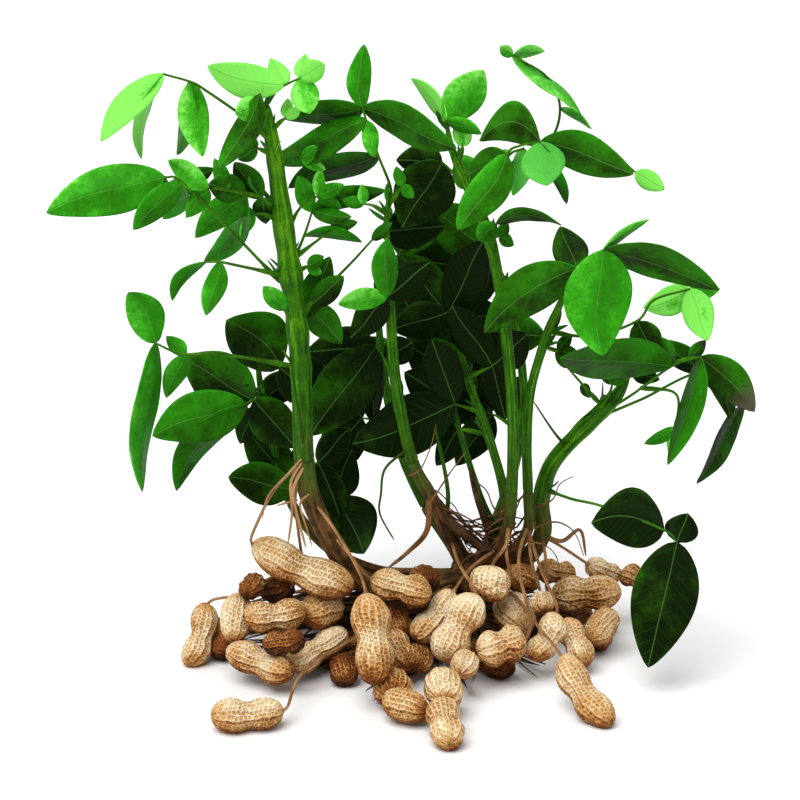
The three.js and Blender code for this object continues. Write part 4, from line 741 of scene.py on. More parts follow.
class Graph:
    """A node tree that is being wired."""

    def __init__(self, tree: bpy.types.NodeTree) -> None:
        """Keeps the tree."""
        self.tree = tree

    def node(self, kind: str, inputs: Optional[dict] = None, **settings: object) -> bpy.types.Node:
        """Adds a node.

        Args:
            kind: Blender's name for the type of node.
            inputs: Wires or values, by the input's name or number.
            **settings: Properties of the node.

        Returns:
            The node.
        """
        made = self.tree.nodes.new(kind)
        for name, value in settings.items():
            setattr(made, name, value)
        for key, value in (inputs or {}).items():
            self.feed(made.inputs[key], value)
        return made

    def add(self, kind: str, inputs: Optional[dict] = None, output: Union[int, str] = 0,
            **settings: object) -> Wire:
        """Adds a node and gives the wire of one of its outputs."""
        return Wire(self, self.node(kind, inputs, **settings).outputs[output])

    def feed(self, socket: bpy.types.NodeSocket, value: Value) -> None:
        """Links a wire to an input, or writes a value on it."""
        value = value.socket if isinstance(value, Wire) else value
        if isinstance(value, bpy.types.NodeSocket):
            self.tree.links.new(value, socket)
        elif value is not None:
            socket.default_value = value

    def math(self, operation: str, *values: Value) -> Wire:
        """Adds a Math node and gives its result."""
        return self.add("ShaderNodeMath", dict(enumerate(values)), operation=operation)

    def vector(self, operation: str, *values: Value, output: int = 0) -> Wire:
        """Adds a Vector Math node and gives its result."""
        return self.add("ShaderNodeVectorMath", dict(enumerate(values)), output, operation=operation)

    def scaled(self, vector: Wire, factor: Value) -> Wire:
        """A vector times a number."""
        return self.add("ShaderNodeVectorMath", {0: vector, "Scale": factor}, operation="SCALE")

    def noise(self, scale: Value, detail: float = 2.0, vector: Optional[Wire] = None,
              seed: Value = 0.0, roughness: float = 0.5) -> Wire:
        """Adds a four-dimensional noise, whose last dimension is its seed, and gives its factor."""
        inputs = {"Vector": vector, "W": seed, "Scale": scale, "Detail": detail,
                  "Roughness": roughness}
        return self.add("ShaderNodeTexNoise", inputs, noise_dimensions="4D")

    def spread(self, value: Wire, low: float, high: float, first: float, last: float) -> Wire:
        """Turns the range from low to high into the range from first to last."""
        return self.add("ShaderNodeMapRange", {0: value, 1: low, 2: high, 3: first, 4: last})

    def ramp(self, factor: Wire, stops: Ramp) -> Wire:
        """Adds a colour ramp.

        Args:
            factor: What drives it.
            stops: Place and colour of each stop, in order.

        Returns:
            The ramp's colour.
        """
        made = self.node("ShaderNodeValToRGB", {0: factor})
        elements = made.color_ramp.elements
        while len(elements) < len(stops):
            elements.new(0.5)
        for element, (place, colour) in zip(elements, stops):
            element.position = place
            element.color = (*colour, 1.0)
        return Wire(self, made.outputs[0])

    def blend(self, factor: Value, *colours: Union[Wire, Colour]) -> Wire:
        """Mixes two colours by a factor."""
        low, high = ((*c, 1.0) if isinstance(c, tuple) else c for c in colours)
        return self.add("ShaderNodeMix", {0: factor, 6: low, 7: high}, 2, data_type="RGBA")


class GeometryRecipe(Graph):
    """A Geometry Nodes tree with named inputs, used to turn rough meshes into finished ones."""

    def __init__(self, name: str, **inputs: float) -> None:
        """Makes the tree's sockets.

        Args:
            name: Name of the tree.
            **inputs: Default of each size that can be set, by name.
        """
        super().__init__(bpy.data.node_groups.new(name, "GeometryNodeTree"))
        face = self.tree.interface
        for way in ("OUTPUT", "INPUT"):
            face.new_socket("Geometry", in_out=way, socket_type="NodeSocketGeometry")
        self.identifiers: dict[str, str] = {}
        for key, default in inputs.items():
            kind = "NodeSocketInt" if isinstance(default, int) else "NodeSocketFloat"
            made = face.new_socket(key, in_out="INPUT", socket_type=kind)
            made.default_value = default
            self.identifiers[key] = made.identifier
        made = face.new_socket("finish", in_out="INPUT", socket_type="NodeSocketMaterial")
        self.identifiers["finish"] = made.identifier
        self.given = self.tree.nodes.new("NodeGroupInput")
        self.wire()

    def wire(self) -> None:
        """Adds the recipe's own nodes."""
        raise NotImplementedError

    def size(self, name: str) -> Wire:
        """The wire of a named input."""
        return Wire(self, self.given.outputs[name])

    def attribute(self, name: str) -> Wire:
        """A number that the points carry."""
        return self.add("GeometryNodeInputNamedAttribute", {"Name": name}, data_type="FLOAT")

    def store(self, geometry: Wire, name: str, value: Value, domain: str = "POINT") -> Wire:
        """Stores a number on the geometry."""
        inputs = {"Geometry": geometry, "Name": name, "Value": value}
        return self.add("GeometryNodeStoreNamedAttribute", inputs, data_type="FLOAT", domain=domain)

    def raised(self, geometry: Wire, height: Wire) -> Wire:
        """Moves points along their normals."""
        offset = self.scaled(self.add("GeometryNodeInputNormal"), height)
        return self.add("GeometryNodeSetPosition", {"Geometry": geometry, "Offset": offset})

    def close(self, geometry: Wire) -> None:
        """Ends the tree in Set Material and Realize Instances."""
        dressed = self.add("GeometryNodeSetMaterial",
                           {"Geometry": geometry, "Material": self.size("finish")})
        self.node("NodeGroupOutput", {0: self.add("GeometryNodeRealizeInstances", {0: dressed})})

    def apply(self, piece: Piece, finish: bpy.types.Material, **sizes: float) -> None:
        """Turns a rough piece into a finished plain mesh, with no modifier left on it.

        Args:
            piece: The object with the rough mesh.
            finish: Its material.
            **sizes: Values of named inputs.
        """
        modifier = piece.modifiers.new(self.tree.name, "NODES")
        modifier.node_group = self.tree
        for key, value in {"finish": finish, **sizes}.items():
            modifier[self.identifiers[key]] = value
        piece.update_tag()
        graph = bpy.context.evaluated_depsgraph_get()
        mesh = bpy.data.meshes.new_from_object(
            piece.evaluated_get(graph), preserve_all_data_layers=True, depsgraph=graph)
        piece.modifiers.clear()
        rough = piece.data
        piece.data = mesh
        mesh.name = piece.name
        bpy.data.meshes.remove(rough)


class StalkRecipe(GeometryRecipe):
    """Sweeps a ribbed round profile along every chain of edges, with the girth that it carries."""

    def wire(self) -> None:
        """Adds the sweep."""
        curve = self.add("GeometryNodeMeshToCurve", {0: self.size("Geometry")})
        curve = self.store(curve, "along", self.add("GeometryNodeSplineParameter", output="Length"))
        profile = self.add("GeometryNodeCurvePrimitiveCircle",
                           {"Resolution": self.size("sides"), "Radius": 1.0}, mode="RADIUS")
        around = self.add("GeometryNodeSplineParameter", output="Factor")
        turn = around * math.tau
        ridge = self.math("COSINE", around * self.size("ribs") * math.tau)
        carried = {"ridge": ridge, "turn_cosine": self.math("COSINE", turn),
                   "turn_sine": self.math("SINE", turn)}
        for name, value in carried.items():
            profile = self.store(profile, name, value)
        swell = ridge * self.size("rib_height") + 1.0
        place = self.scaled(self.add("GeometryNodeInputPosition"), swell)
        profile = self.add("GeometryNodeSetPosition", {"Geometry": profile, "Position": place})
        swept = self.add("GeometryNodeCurveToMesh", {
            "Curve": curve, "Profile Curve": profile, "Scale": self.attribute("girth"),
            "Fill Caps": True})
        self.close(self.add("GeometryNodeSetShadeSmooth", {0: swept}))


class BladeRecipe(GeometryRecipe):
    """Ripples flat leaf blades and gives them a thickness, an upper side and an underside."""

    def wire(self) -> None:
        """Adds the ripple, the extrusion and the closing underside."""
        wave = self.noise(self.size("ripple_scale"), 1.0, seed=self.size("seed")) - 0.5
        height = wave * self.size("ripple") * self.attribute("edge")
        rippled = self.raised(self.size("Geometry"), height)
        raised = self.node("GeometryNodeExtrudeMesh", {
            "Mesh": rippled, "Offset Scale": self.size("thickness"), "Individual": False},
            mode="FACES")
        under = self.add("GeometryNodeFlipFaces", {0: rippled})
        under = self.store(under, "underside", 1.0, "FACE")
        joined = self.node("GeometryNodeJoinGeometry", {0: under})
        self.feed(joined.inputs[0], raised.outputs["Mesh"])
        merged = self.add("GeometryNodeMergeByDistance", {
            "Geometry": joined.outputs[0], "Distance": 1e-6})
        smooth = self.add("GeometryNodeSetShadeSmooth", {0: merged})
        self.close(self.add("GeometryNodeSetShadeSmooth", {
            "Geometry": smooth, "Selection": raised.outputs["Side"], "Shade Smooth": False}))


@dataclass(frozen=True)
class ShellNet:
    """The raised net of a pod's shell: long ribs and staggered ties, bent by noise."""

    ribs: float = 20.0
    cells: float = 0.46
    stagger: float = 0.38
    bend: float = 1.5
    bend_scale: float = 110.0
    fine_bend: float = 0.9
    fine_scale: float = 330.0
    rib_half: float = 0.3
    tie_half: float = 0.3
    tie_height: float = 0.75
    tie_shift: float = 7.3

    @staticmethod
    def crest(place: Wire, half: float) -> Wire:
        """A rounded ridge, half its width on each side of the border between two cells."""
        left = (0.5 - abs(place - 0.5)) / half
        return (1.0 - left * left).at_least(0.0)

    def bent(self, graph: Graph, seed: Wire, vector: Optional[Wire], shift: float) -> Wire:
        """A stray of the net's lines, coarse and fine.

        Args:
            graph: The tree.
            seed: The pod's seed.
            vector: Place on the pod, if the tree needs it.
            shift: Added to the seed.

        Returns:
            The stray, in cells.
        """
        place = seed + shift
        coarse = graph.noise(self.bend_scale, 1.0, vector, place) - 0.5
        fine = graph.noise(self.fine_scale, 1.0, vector, place) - 0.5
        return coarse * self.bend + fine * self.fine_bend

    def height(self, graph: Graph, read: Callable[[str], Wire], vector: Optional[Wire] = None) -> Wire:
        """Height of the net.

        Args:
            graph: A geometry or shader tree.
            read: Gives a number that the pod's points carry, by its name.
            vector: Place on the pod, where the tree doesn't know it by itself.

        Returns:
            A height from 0 to 1.
        """
        seed = read("seed")
        turn = graph.math("ARCTAN2", read("turn_sine"), read("turn_cosine")) / math.tau
        across = turn * self.ribs + self.bent(graph, seed, vector, 0.0)
        column = graph.math("FLOOR", across)
        rib = self.crest(across - column, self.rib_half)
        stray = column * self.stagger + self.bent(graph, seed, vector, self.tie_shift)
        length = graph.math("FRACT", read("rise") * self.cells + stray)
        tie = self.crest(length, self.tie_half) * self.tie_height
        return rib.at_least(tie) * read("fade")


class ShellRecipe(GeometryRecipe):
    """Raises the net of a pod's shell, and lumps, from a smooth form."""

    net = ShellNet(ribs=10.0, cells=0.22, bend=1.0, fine_bend=0.4, rib_half=0.34,
                   tie_half=0.3, tie_height=0.5)
    sunk_share = 0.4

    def wire(self) -> None:
        """Adds the net and the lumps along the normal."""
        net = self.net.height(self, self.attribute) - self.sunk_share
        lump = self.noise(self.size("lump_scale"), 1.0, seed=self.attribute("seed")) - 0.5
        height = net * self.size("net_height") + lump * self.size("lump_height")
        raised = self.raised(self.size("Geometry"), height)
        self.close(self.add("GeometryNodeSetShadeSmooth", {0: raised}))


# Finishes


@dataclass(frozen=True)
class Finish:
    """A procedural material."""

    name: str
    shine: float = 0.5
    tint: Colour = (1.0, 1.0, 1.0)

    def make(self) -> bpy.types.Material:
        """Makes the material.

        Returns:
            The material, with this finish's own colour, roughness and relief.
        """
        material = bpy.data.materials.new(self.name)
        material.use_nodes = True
        graph = Graph(material.node_tree)
        shader = material.node_tree.nodes["Principled BSDF"]
        colour, roughness, relief, depth = self.look(graph)
        settings = {"Base Color": colour, "Roughness": roughness,
                    "Specular IOR Level": self.shine, "Specular Tint": (*self.tint, 1.0)}
        if relief is not None:
            settings["Normal"] = graph.add("ShaderNodeBump", {"Height": relief, "Distance": depth})
        for name, value in settings.items():
            graph.feed(shader.inputs[name], value)
        return material

    def look(self, graph: Graph) -> tuple:
        """Colour, roughness, relief and the relief's depth in metres."""
        raise NotImplementedError

    @staticmethod
    def carried(graph: Graph, name: str) -> Wire:
        """A number that the mesh carries."""
        return graph.add("ShaderNodeAttribute", output="Fac", attribute_name=name)

    @staticmethod
    def place(graph: Graph) -> Wire:
        """Object coordinates."""
        return graph.add("ShaderNodeTexCoord", output="Object")

    @staticmethod
    def height(graph: Graph, vector: Wire) -> Wire:
        """The part of a vector that points up."""
        return graph.add("ShaderNodeSeparateXYZ", {0: vector}, "Z")

    def rise(self, graph: Graph) -> Wire:
        """How far the surface faces up, from -1 to 1."""
        return self.height(graph, graph.add("ShaderNodeNewGeometry", output="Normal"))


@dataclass(frozen=True)
class LeafFinish(Finish):
    """Leaf skin: green by tone, with a pale midrib, side veins and a paler underside, painted shade deep
    in the plant and painted light on high leaves and on leaves that face up.
    """

    shine: float = 0.08
    tint: Colour = (0.5, 1.0, 0.4)
    rough: float = 0.42
    greens: Ramp = (
        (0.0, (0.004, 0.0095, 0.0012)), (0.2, (0.011, 0.036, 0.0015)),
        (0.45, (0.02, 0.135, 0.003)), (0.7, (0.024, 0.26, 0.005)),
        (0.86, (0.06, 0.45, 0.016)), (1.0, (0.22, 0.78, 0.1)))
    bloomed: Colour = (0.1, 0.5, 0.07)
    lower: Colour = (0.04, 0.17, 0.02)
    veined: Colour = (0.16, 0.56, 0.06)
    ribbed: Colour = (0.22, 0.62, 0.12)
    dry: Colour = (0.085, 0.06, 0.045)
    blotch_scale: float = 75.0
    fine_scale: float = 420.0
    fine_weight: float = 0.45
    calm: float = 0.7
    edge_light: float = 0.07
    bloom_share: float = 0.7
    under_share: float = 0.5
    vein_share: float = 0.1
    under_vein_share: float = 0.2
    rib_share: float = 0.55
    vein_tint: float = 0.3
    rib_tint: float = 0.4
    dry_blotch: Pair = (1.2, 0.3)
    fine_relief: float = 0.8
    vein_relief: float = 0.35
    under_rough: float = 0.2
    blotch_rough: float = 0.25
    vein_width: float = 0.07
    midrib_width: float = 0.45
    relief_depth: float = 0.00025
    # where and how strongly shade is painted inside the plant
    heart: Colour = (0.03, 0.0, 0.17)
    heart_reach: Colour = (0.1, 0.1, 0.11)
    shade: float = 0.5
    # painted light: leaves are painted lighter the higher they grow and the more they face up
    daylight: Row = (0.13, 0.27, 0.0, 0.14)
    skylight: Row = (0.5, 0.95, 0.0, 0.4)
    skylit_below: float = 0.7

    def look(self, graph: Graph) -> tuple:
        """Green ramp with veins drawn from the numbers that the blades carry.

        Args:
            graph: The material's node tree.

        Returns:
            Colour, roughness, relief and the relief's depth in metres.
        """
        place = self.place(graph)
        tone, edge, under, bloom, vein, rib, wither = (self.carried(graph, name) for name in (
            "tone", "edge", "underside", "bloom", "vein", "rib", "wither"))
        blotch = graph.noise(self.blotch_scale, 1.5, place)
        fine = graph.noise(self.fine_scale, 3.0, place, 3.0, 0.65)
        level = tone + (blotch - 0.5) * (1.0 - tone * self.calm)
        level = level + (fine - 0.5) * self.fine_weight + edge * self.edge_light
        # painted shade: leaves near the heart of the plant are painted darker
        level = level - self.painted_deep_shade(graph, place)
        # painted light: higher leaves, and leaves that face up, are painted lighter
        level = level + graph.spread(self.height(graph, place), *self.daylight)
        facing = graph.spread(self.rise(graph), *self.skylight)
        level = level + facing * (self.skylit_below - tone).at_least(0.0)
        skin = graph.blend(bloom * self.bloom_share, graph.ramp(level, self.greens), self.bloomed)
        side = (1.0 - abs(graph.math("FRACT", vein) - 0.5) / self.vein_width).at_least(0.0)
        rib = (1.0 - rib / self.midrib_width).at_least(0.0)
        colour = graph.blend(under * self.under_share, skin, self.lower)
        share = side * (under * self.under_vein_share + self.vein_share)
        colour = graph.blend(share, colour, graph.blend(self.vein_tint, skin, self.veined))
        ribbed = graph.blend(self.rib_tint, skin, self.ribbed)
        colour = graph.blend(rib * self.rib_share, colour, ribbed)
        steep, least = self.dry_blotch
        colour = graph.blend((wither * (blotch * steep + least)).at_most(1.0), colour, self.dry)
        rough = under * self.under_rough + self.rough + (blotch - 0.5) * self.blotch_rough
        relief = fine * self.fine_relief - (side * self.vein_relief + rib)
        return colour, rough, relief, self.relief_depth

    def painted_deep_shade(self, graph: Graph, place: Wire) -> Wire:
        """Painted shade: how much darker a leaf is painted near the heart of the plant, where shade
        falls.
        """
        away = graph.vector("DIVIDE", graph.vector("SUBTRACT", place, self.heart), self.heart_reach)
        return (1.0 - graph.vector("LENGTH", away, output=1)).at_least(0.0) * self.shade


@dataclass(frozen=True)
class StreakFinish(Finish):
    """Skin of stalks, bark and pegs: fine streaks along them, patches and furrows."""

    shine: float = 0.07
    tones: tuple[Colour, ...] = ((0.006, 0.03, 0.002), (0.018, 0.085, 0.003),
                                 (0.036, 0.16, 0.002), (0.16, 0.46, 0.012))
    stops: Row = (0.28, 0.42, 0.54, 0.8)
    rough: float = 0.5
    streak_length: float = 0.045
    streak_scale: float = 3.2
    patch_share: float = 0.35
    patch_scale: float = 110.0
    fine_scale: float = 800.0
    fine_weight: float = 0.2
    fine_relief: float = 0.4
    ridge_light: float = 0.05
    other_dark: Colour = (0.01, 0.006, 0.003)
    other: Colour = (0.06, 0.034, 0.014)
    other_streak: float = 1.2
    other_patch: float = 1.6
    relief_depth: float = 0.0006

    def look(self, graph: Graph) -> tuple:
        """Streaks that follow the stalk, broken by patches.

        Args:
            graph: The material's node tree.

        Returns:
            Colour, roughness, relief and the relief's depth in metres.
        """
        place = self.place(graph)
        along, cosine, sine, ridge, glow, turned = (self.carried(graph, name) for name in (
            "along", "turn_cosine", "turn_sine", "ridge", "glow", "turned"))
        skin = graph.add("ShaderNodeCombineXYZ", {0: cosine, 1: sine, 2: along / self.streak_length})
        streak = graph.noise(self.streak_scale, 4.0, skin, 1.0, 0.6)
        patch = graph.noise(self.patch_scale, 3.0, place, 2.0)
        fine = graph.noise(self.fine_scale, 2.0, place, 3.0)
        level = ridge * self.ridge_light + streak * (1.0 - self.patch_share)
        level = level + patch * self.patch_share + glow + (fine - 0.5) * self.fine_weight
        colour = graph.ramp(level, tuple(zip(self.stops, self.tones)))
        other = graph.blend(streak * self.other_streak, self.other_dark, self.other)
        share = ((patch - 0.5) * self.other_patch + turned).at_least(0.0).at_most(1.0)
        whole = graph.math("GREATER_THAN", turned, 0.001)
        colour = graph.blend(share * whole, colour, other)
        return colour, self.rough, streak + fine * self.fine_relief, self.relief_depth


@dataclass(frozen=True)
class ShellFinish(Finish):
    """Dry pod shell: pale ribs and net, darker pits that are partly painted shade, stains and fibres."""

    shine: float = 0.15
    tans: Ramp = ((0.17, (0.03, 0.008, 0.002)), (0.38, (0.26, 0.078, 0.013)),
                  (0.52, (0.64, 0.34, 0.11)), (0.71, (1.0, 0.83, 0.55)))
    rough: float = 0.8
    stain_scale: float = 55.0
    grain_scale: float = 650.0
    weights: tuple[float, float, float] = (0.15, 0.64, 0.42)
    reliefs: Pair = (1.6, 0.6)
    under_shade: Row = (-0.7, 0.35, 0.2, 0.0)
    relief_depth: float = 0.0006

    def look(self, graph: Graph) -> tuple:
        """Tan by height of the net, browned by stains, by soil and by painted shade, and painted darker
        below where shade falls.

        Args:
            graph: The material's node tree.

        Returns:
            Colour, roughness, relief and the relief's depth in metres.
        """
        place = self.place(graph)
        read = partial(self.carried, graph)
        net = ShellNet().height(graph, read, place)
        stain = graph.noise(self.stain_scale, 3.0, place, read("seed"), 0.6)
        grain = graph.noise(self.grain_scale, 3.0, place, 4.0, 0.7)
        # the net paints the pits darker, partly as painted shade in the hollows
        by_net, by_stain, by_grain = self.weights
        # this value darkens the shell by real soil and by painted shade
        level = net * by_net + stain * by_stain + grain * by_grain - read("soil")
        # painted shade: the sides of a pod that face down are painted darker
        level = level - graph.spread(self.rise(graph), *self.under_shade)
        relief = net * self.reliefs[0] + grain * self.reliefs[1]
        return graph.ramp(level, self.tans), self.rough, relief, self.relief_depth


@dataclass(frozen=True)
class FloorFinish(Finish):
    """Plain pale floor."""

    whites: Ramp = ((0.3, (0.88, 0.88, 0.88)), (0.7, (0.9, 0.9, 0.9)))
    rough: float = 0.9

    def look(self, graph: Graph) -> tuple:
        """Nearly white, hardly mottled."""
        return graph.ramp(graph.noise(3.0, 2.0, self.place(graph)), self.whites), self.rough, None, 0.0


# Sub-assemblies


@dataclass(frozen=True)
class BladePose:
    """Where a leaflet lies: its foot, its directions and its sizes, in millimetres."""

    foot: Array
    along: Array
    level: Array
    side: Array
    face: Array
    length: float
    half_width: float
    bow: float


@dataclass
class LeafBlades:
    """Shapes leaflets and finds where the CAD model put them."""

    slenderness: float = 0.42
    fold: float = 0.2
    arch: float = 0.07
    sunk: float = 0.4
    lean_step: float = 5.0
    lean_tries: int = 9
    shift_tries: int = 6
    tip_weight: float = 4.0
    worst_probe: float = 3.0
    long_blade: float = 50.0
    short_probes: Row = (0.3, 0.74)
    long_probes: Row = (0.2, 0.52, 0.83)
    cad_thickness: float = 0.75
    crease_round: float = 0.5
    crease_drop: float = 0.7
    curl: float = 0.07
    sway: float = 0.02
    quilt: float = 0.1
    veins: float = 11.0
    vein_slant: float = 0.75
    tone_spread: float = 0.07
    edge_light: float = 0.05
    tip_light: float = 0.08
    dry_from: float = 0.62
    dry_run: float = 0.22
    # painted light: the half of a leaflet that faces the sun is painted lighter, the other half darker
    sunlit: float = 0.07
    sunlit_edge: float = 6.0
    skew: float = 0.85
    bluntness: float = 0.75
    sunward: Array = field(default_factory=lambda: np.array([-0.4, -0.4, 0.8]))
    grids: tuple = ((45.0, (30, 12)), (22.0, (20, 8)), (0.0, (9, 4)))
    recipe: GeometryRecipe = field(init=False)
    finish: bpy.types.Material = field(init=False)

    def __post_init__(self) -> None:
        """Makes the recipe and the finish that all stems share."""
        self.recipe = BladeRecipe("leaf_blades", thickness=0.0004, ripple=0.0016,
                                  ripple_scale=70.0, seed=0.0)
        self.finish = LeafFinish("leaf_skin").make()

    def outline(self, t: Array) -> Array:
        """Half the width of a blade along its length, where the widest is 1."""
        body = np.sin(np.pi * np.clip(t, 0, 1) ** self.skew)
        return np.clip(body, 0, None) ** self.bluntness

    def pose(self, foot: Array, leaflet: Sequence[float], foot_depth: float, lean: float,
             order: int) -> BladePose:
        """Works out where a leaflet lies.

        Args:
            foot: Its foot, in millimetres.
            leaflet: Its row of the leaf plan.
            foot_depth: Depth of its foot in the plan.
            lean: How much deeper its tip is.
            order: Its number in the leaf, which says to which side it turns.

        Returns:
            The leaflet's pose.
        """
        tip_x, tip_y, width = leaflet[1:4]
        bow = leaflet[5] if len(leaflet) > 5 else 0.0
        tip = VIEW.seen(tip_x, tip_y, foot_depth + lean)
        length = float(np.linalg.norm(tip - foot))
        along = unit(tip - foot)
        level = unit(np.cross(along, unit(foot - VIEW.eye)))
        facing = unit(np.cross(level, along))
        seen_width = width * VIEW.mm_per_pixel
        true_width = max(seen_width, self.slenderness * length)
        roll = math.acos(seen_width / true_width) * (1 if order % 2 else -1)
        side = level * math.cos(roll) + facing * math.sin(roll)
        face = facing * math.cos(roll) - level * math.sin(roll)
        return BladePose(foot, along, level, side, face, length, true_width / 2,
                         bow * VIEW.mm_per_pixel)

    def points(self, pose: BladePose, t: Array, reach: Array, lift: Array,
               sway: Numbers = 0.0) -> Array:
        """Points of a blade.

        Args:
            pose: The leaflet's pose.
            t: Shares of its length.
            reach: How far each point lies from the midrib.
            lift: How far it stands out beyond the arch of the midrib.
            sway: How far it strays sideways.

        Returns:
            A row for each point.
        """
        hump = 4 * t * (1 - t)
        return (pose.foot + np.outer(pose.length * t - self.sunk * (1 - t), pose.along)
                + np.outer(pose.bow * hump + sway, pose.level) + np.outer(reach, pose.side)
                + np.outer(pose.length * self.arch * hump + lift, pose.face))

    def probes(self, pose: BladePose) -> Array:
        """Points on the edges of a blade as the CAD model has it.

        Args:
            pose: The leaflet's pose.

        Returns:
            A row for each point.
        """
        stations = self.short_probes if pose.length < self.long_blade else self.long_probes
        t = np.repeat(stations, 2)
        reach = pose.half_width * self.outline(t) * np.tile([-1.0, 1.0], len(stations))
        return self.points(pose, t, reach, self.fold * np.abs(reach))

    def add(self, sheet: Sheet, pose: BladePose, tone: Tone, wild: np.random.Generator) -> None:
        """Adds a finely divided blade with its colours and veins.

        Args:
            sheet: The sheet that it joins.
            pose: The leaflet's pose.
            tone: How light it is.
            wild: Source of small differences between leaflets.
        """
        rows, columns = next(size for limit, size in self.grids if pose.length > limit)
        t, across = net_shares(np.arange(1, rows) / rows, np.linspace(-1, 1, columns + 1))
        off = np.abs(across)
        reach = pose.half_width * self.outline(t) * across
        away = np.abs(reach)
        sway = wild.uniform(-self.sway, self.sway) * pose.length * np.sin(math.tau * t)
        vein = self.veins * (t - self.vein_slant * away / pose.length)
        crease = self.fold * (np.sqrt(away**2 + self.crease_round) - self.crease_drop)
        curl = self.curl * pose.half_width * off**4 * self.outline(t)
        quilt = self.quilt * np.cos(math.tau * (vein - 0.5)) * np.sin(np.pi * off)
        points = self.points(pose, t, reach, crease - curl - quilt, sway)
        faces = [(face[0], *face[:0:-1]) for face in net_faces(rows - 1, columns + 1, False)]
        if np.cross(pose.along, pose.side) @ pose.face > 0:
            faces = [face[::-1] for face in faces]
        level = tone.level + wild.uniform(-self.tone_spread, self.tone_spread)
        level = level + self.edge_light * off**3 + self.tip_light * (t - 0.5)
        # painted light: the half that faces the sun is painted lighter, the other half darker
        sun = np.sign(pose.side @ self.sunward) * self.sunlit
        level = level + sun * np.tanh(across * self.sunlit_edge)
        dried = np.clip((t - self.dry_from) / self.dry_run, 0, 1)
        sheet.add(points, faces, tone=level, vein=vein, rib=away, edge=off**1.5, underside=0.0,
                  bloom=float(tone is Tone.PALE), wither=float(tone is Tone.WITHERED) * dried)


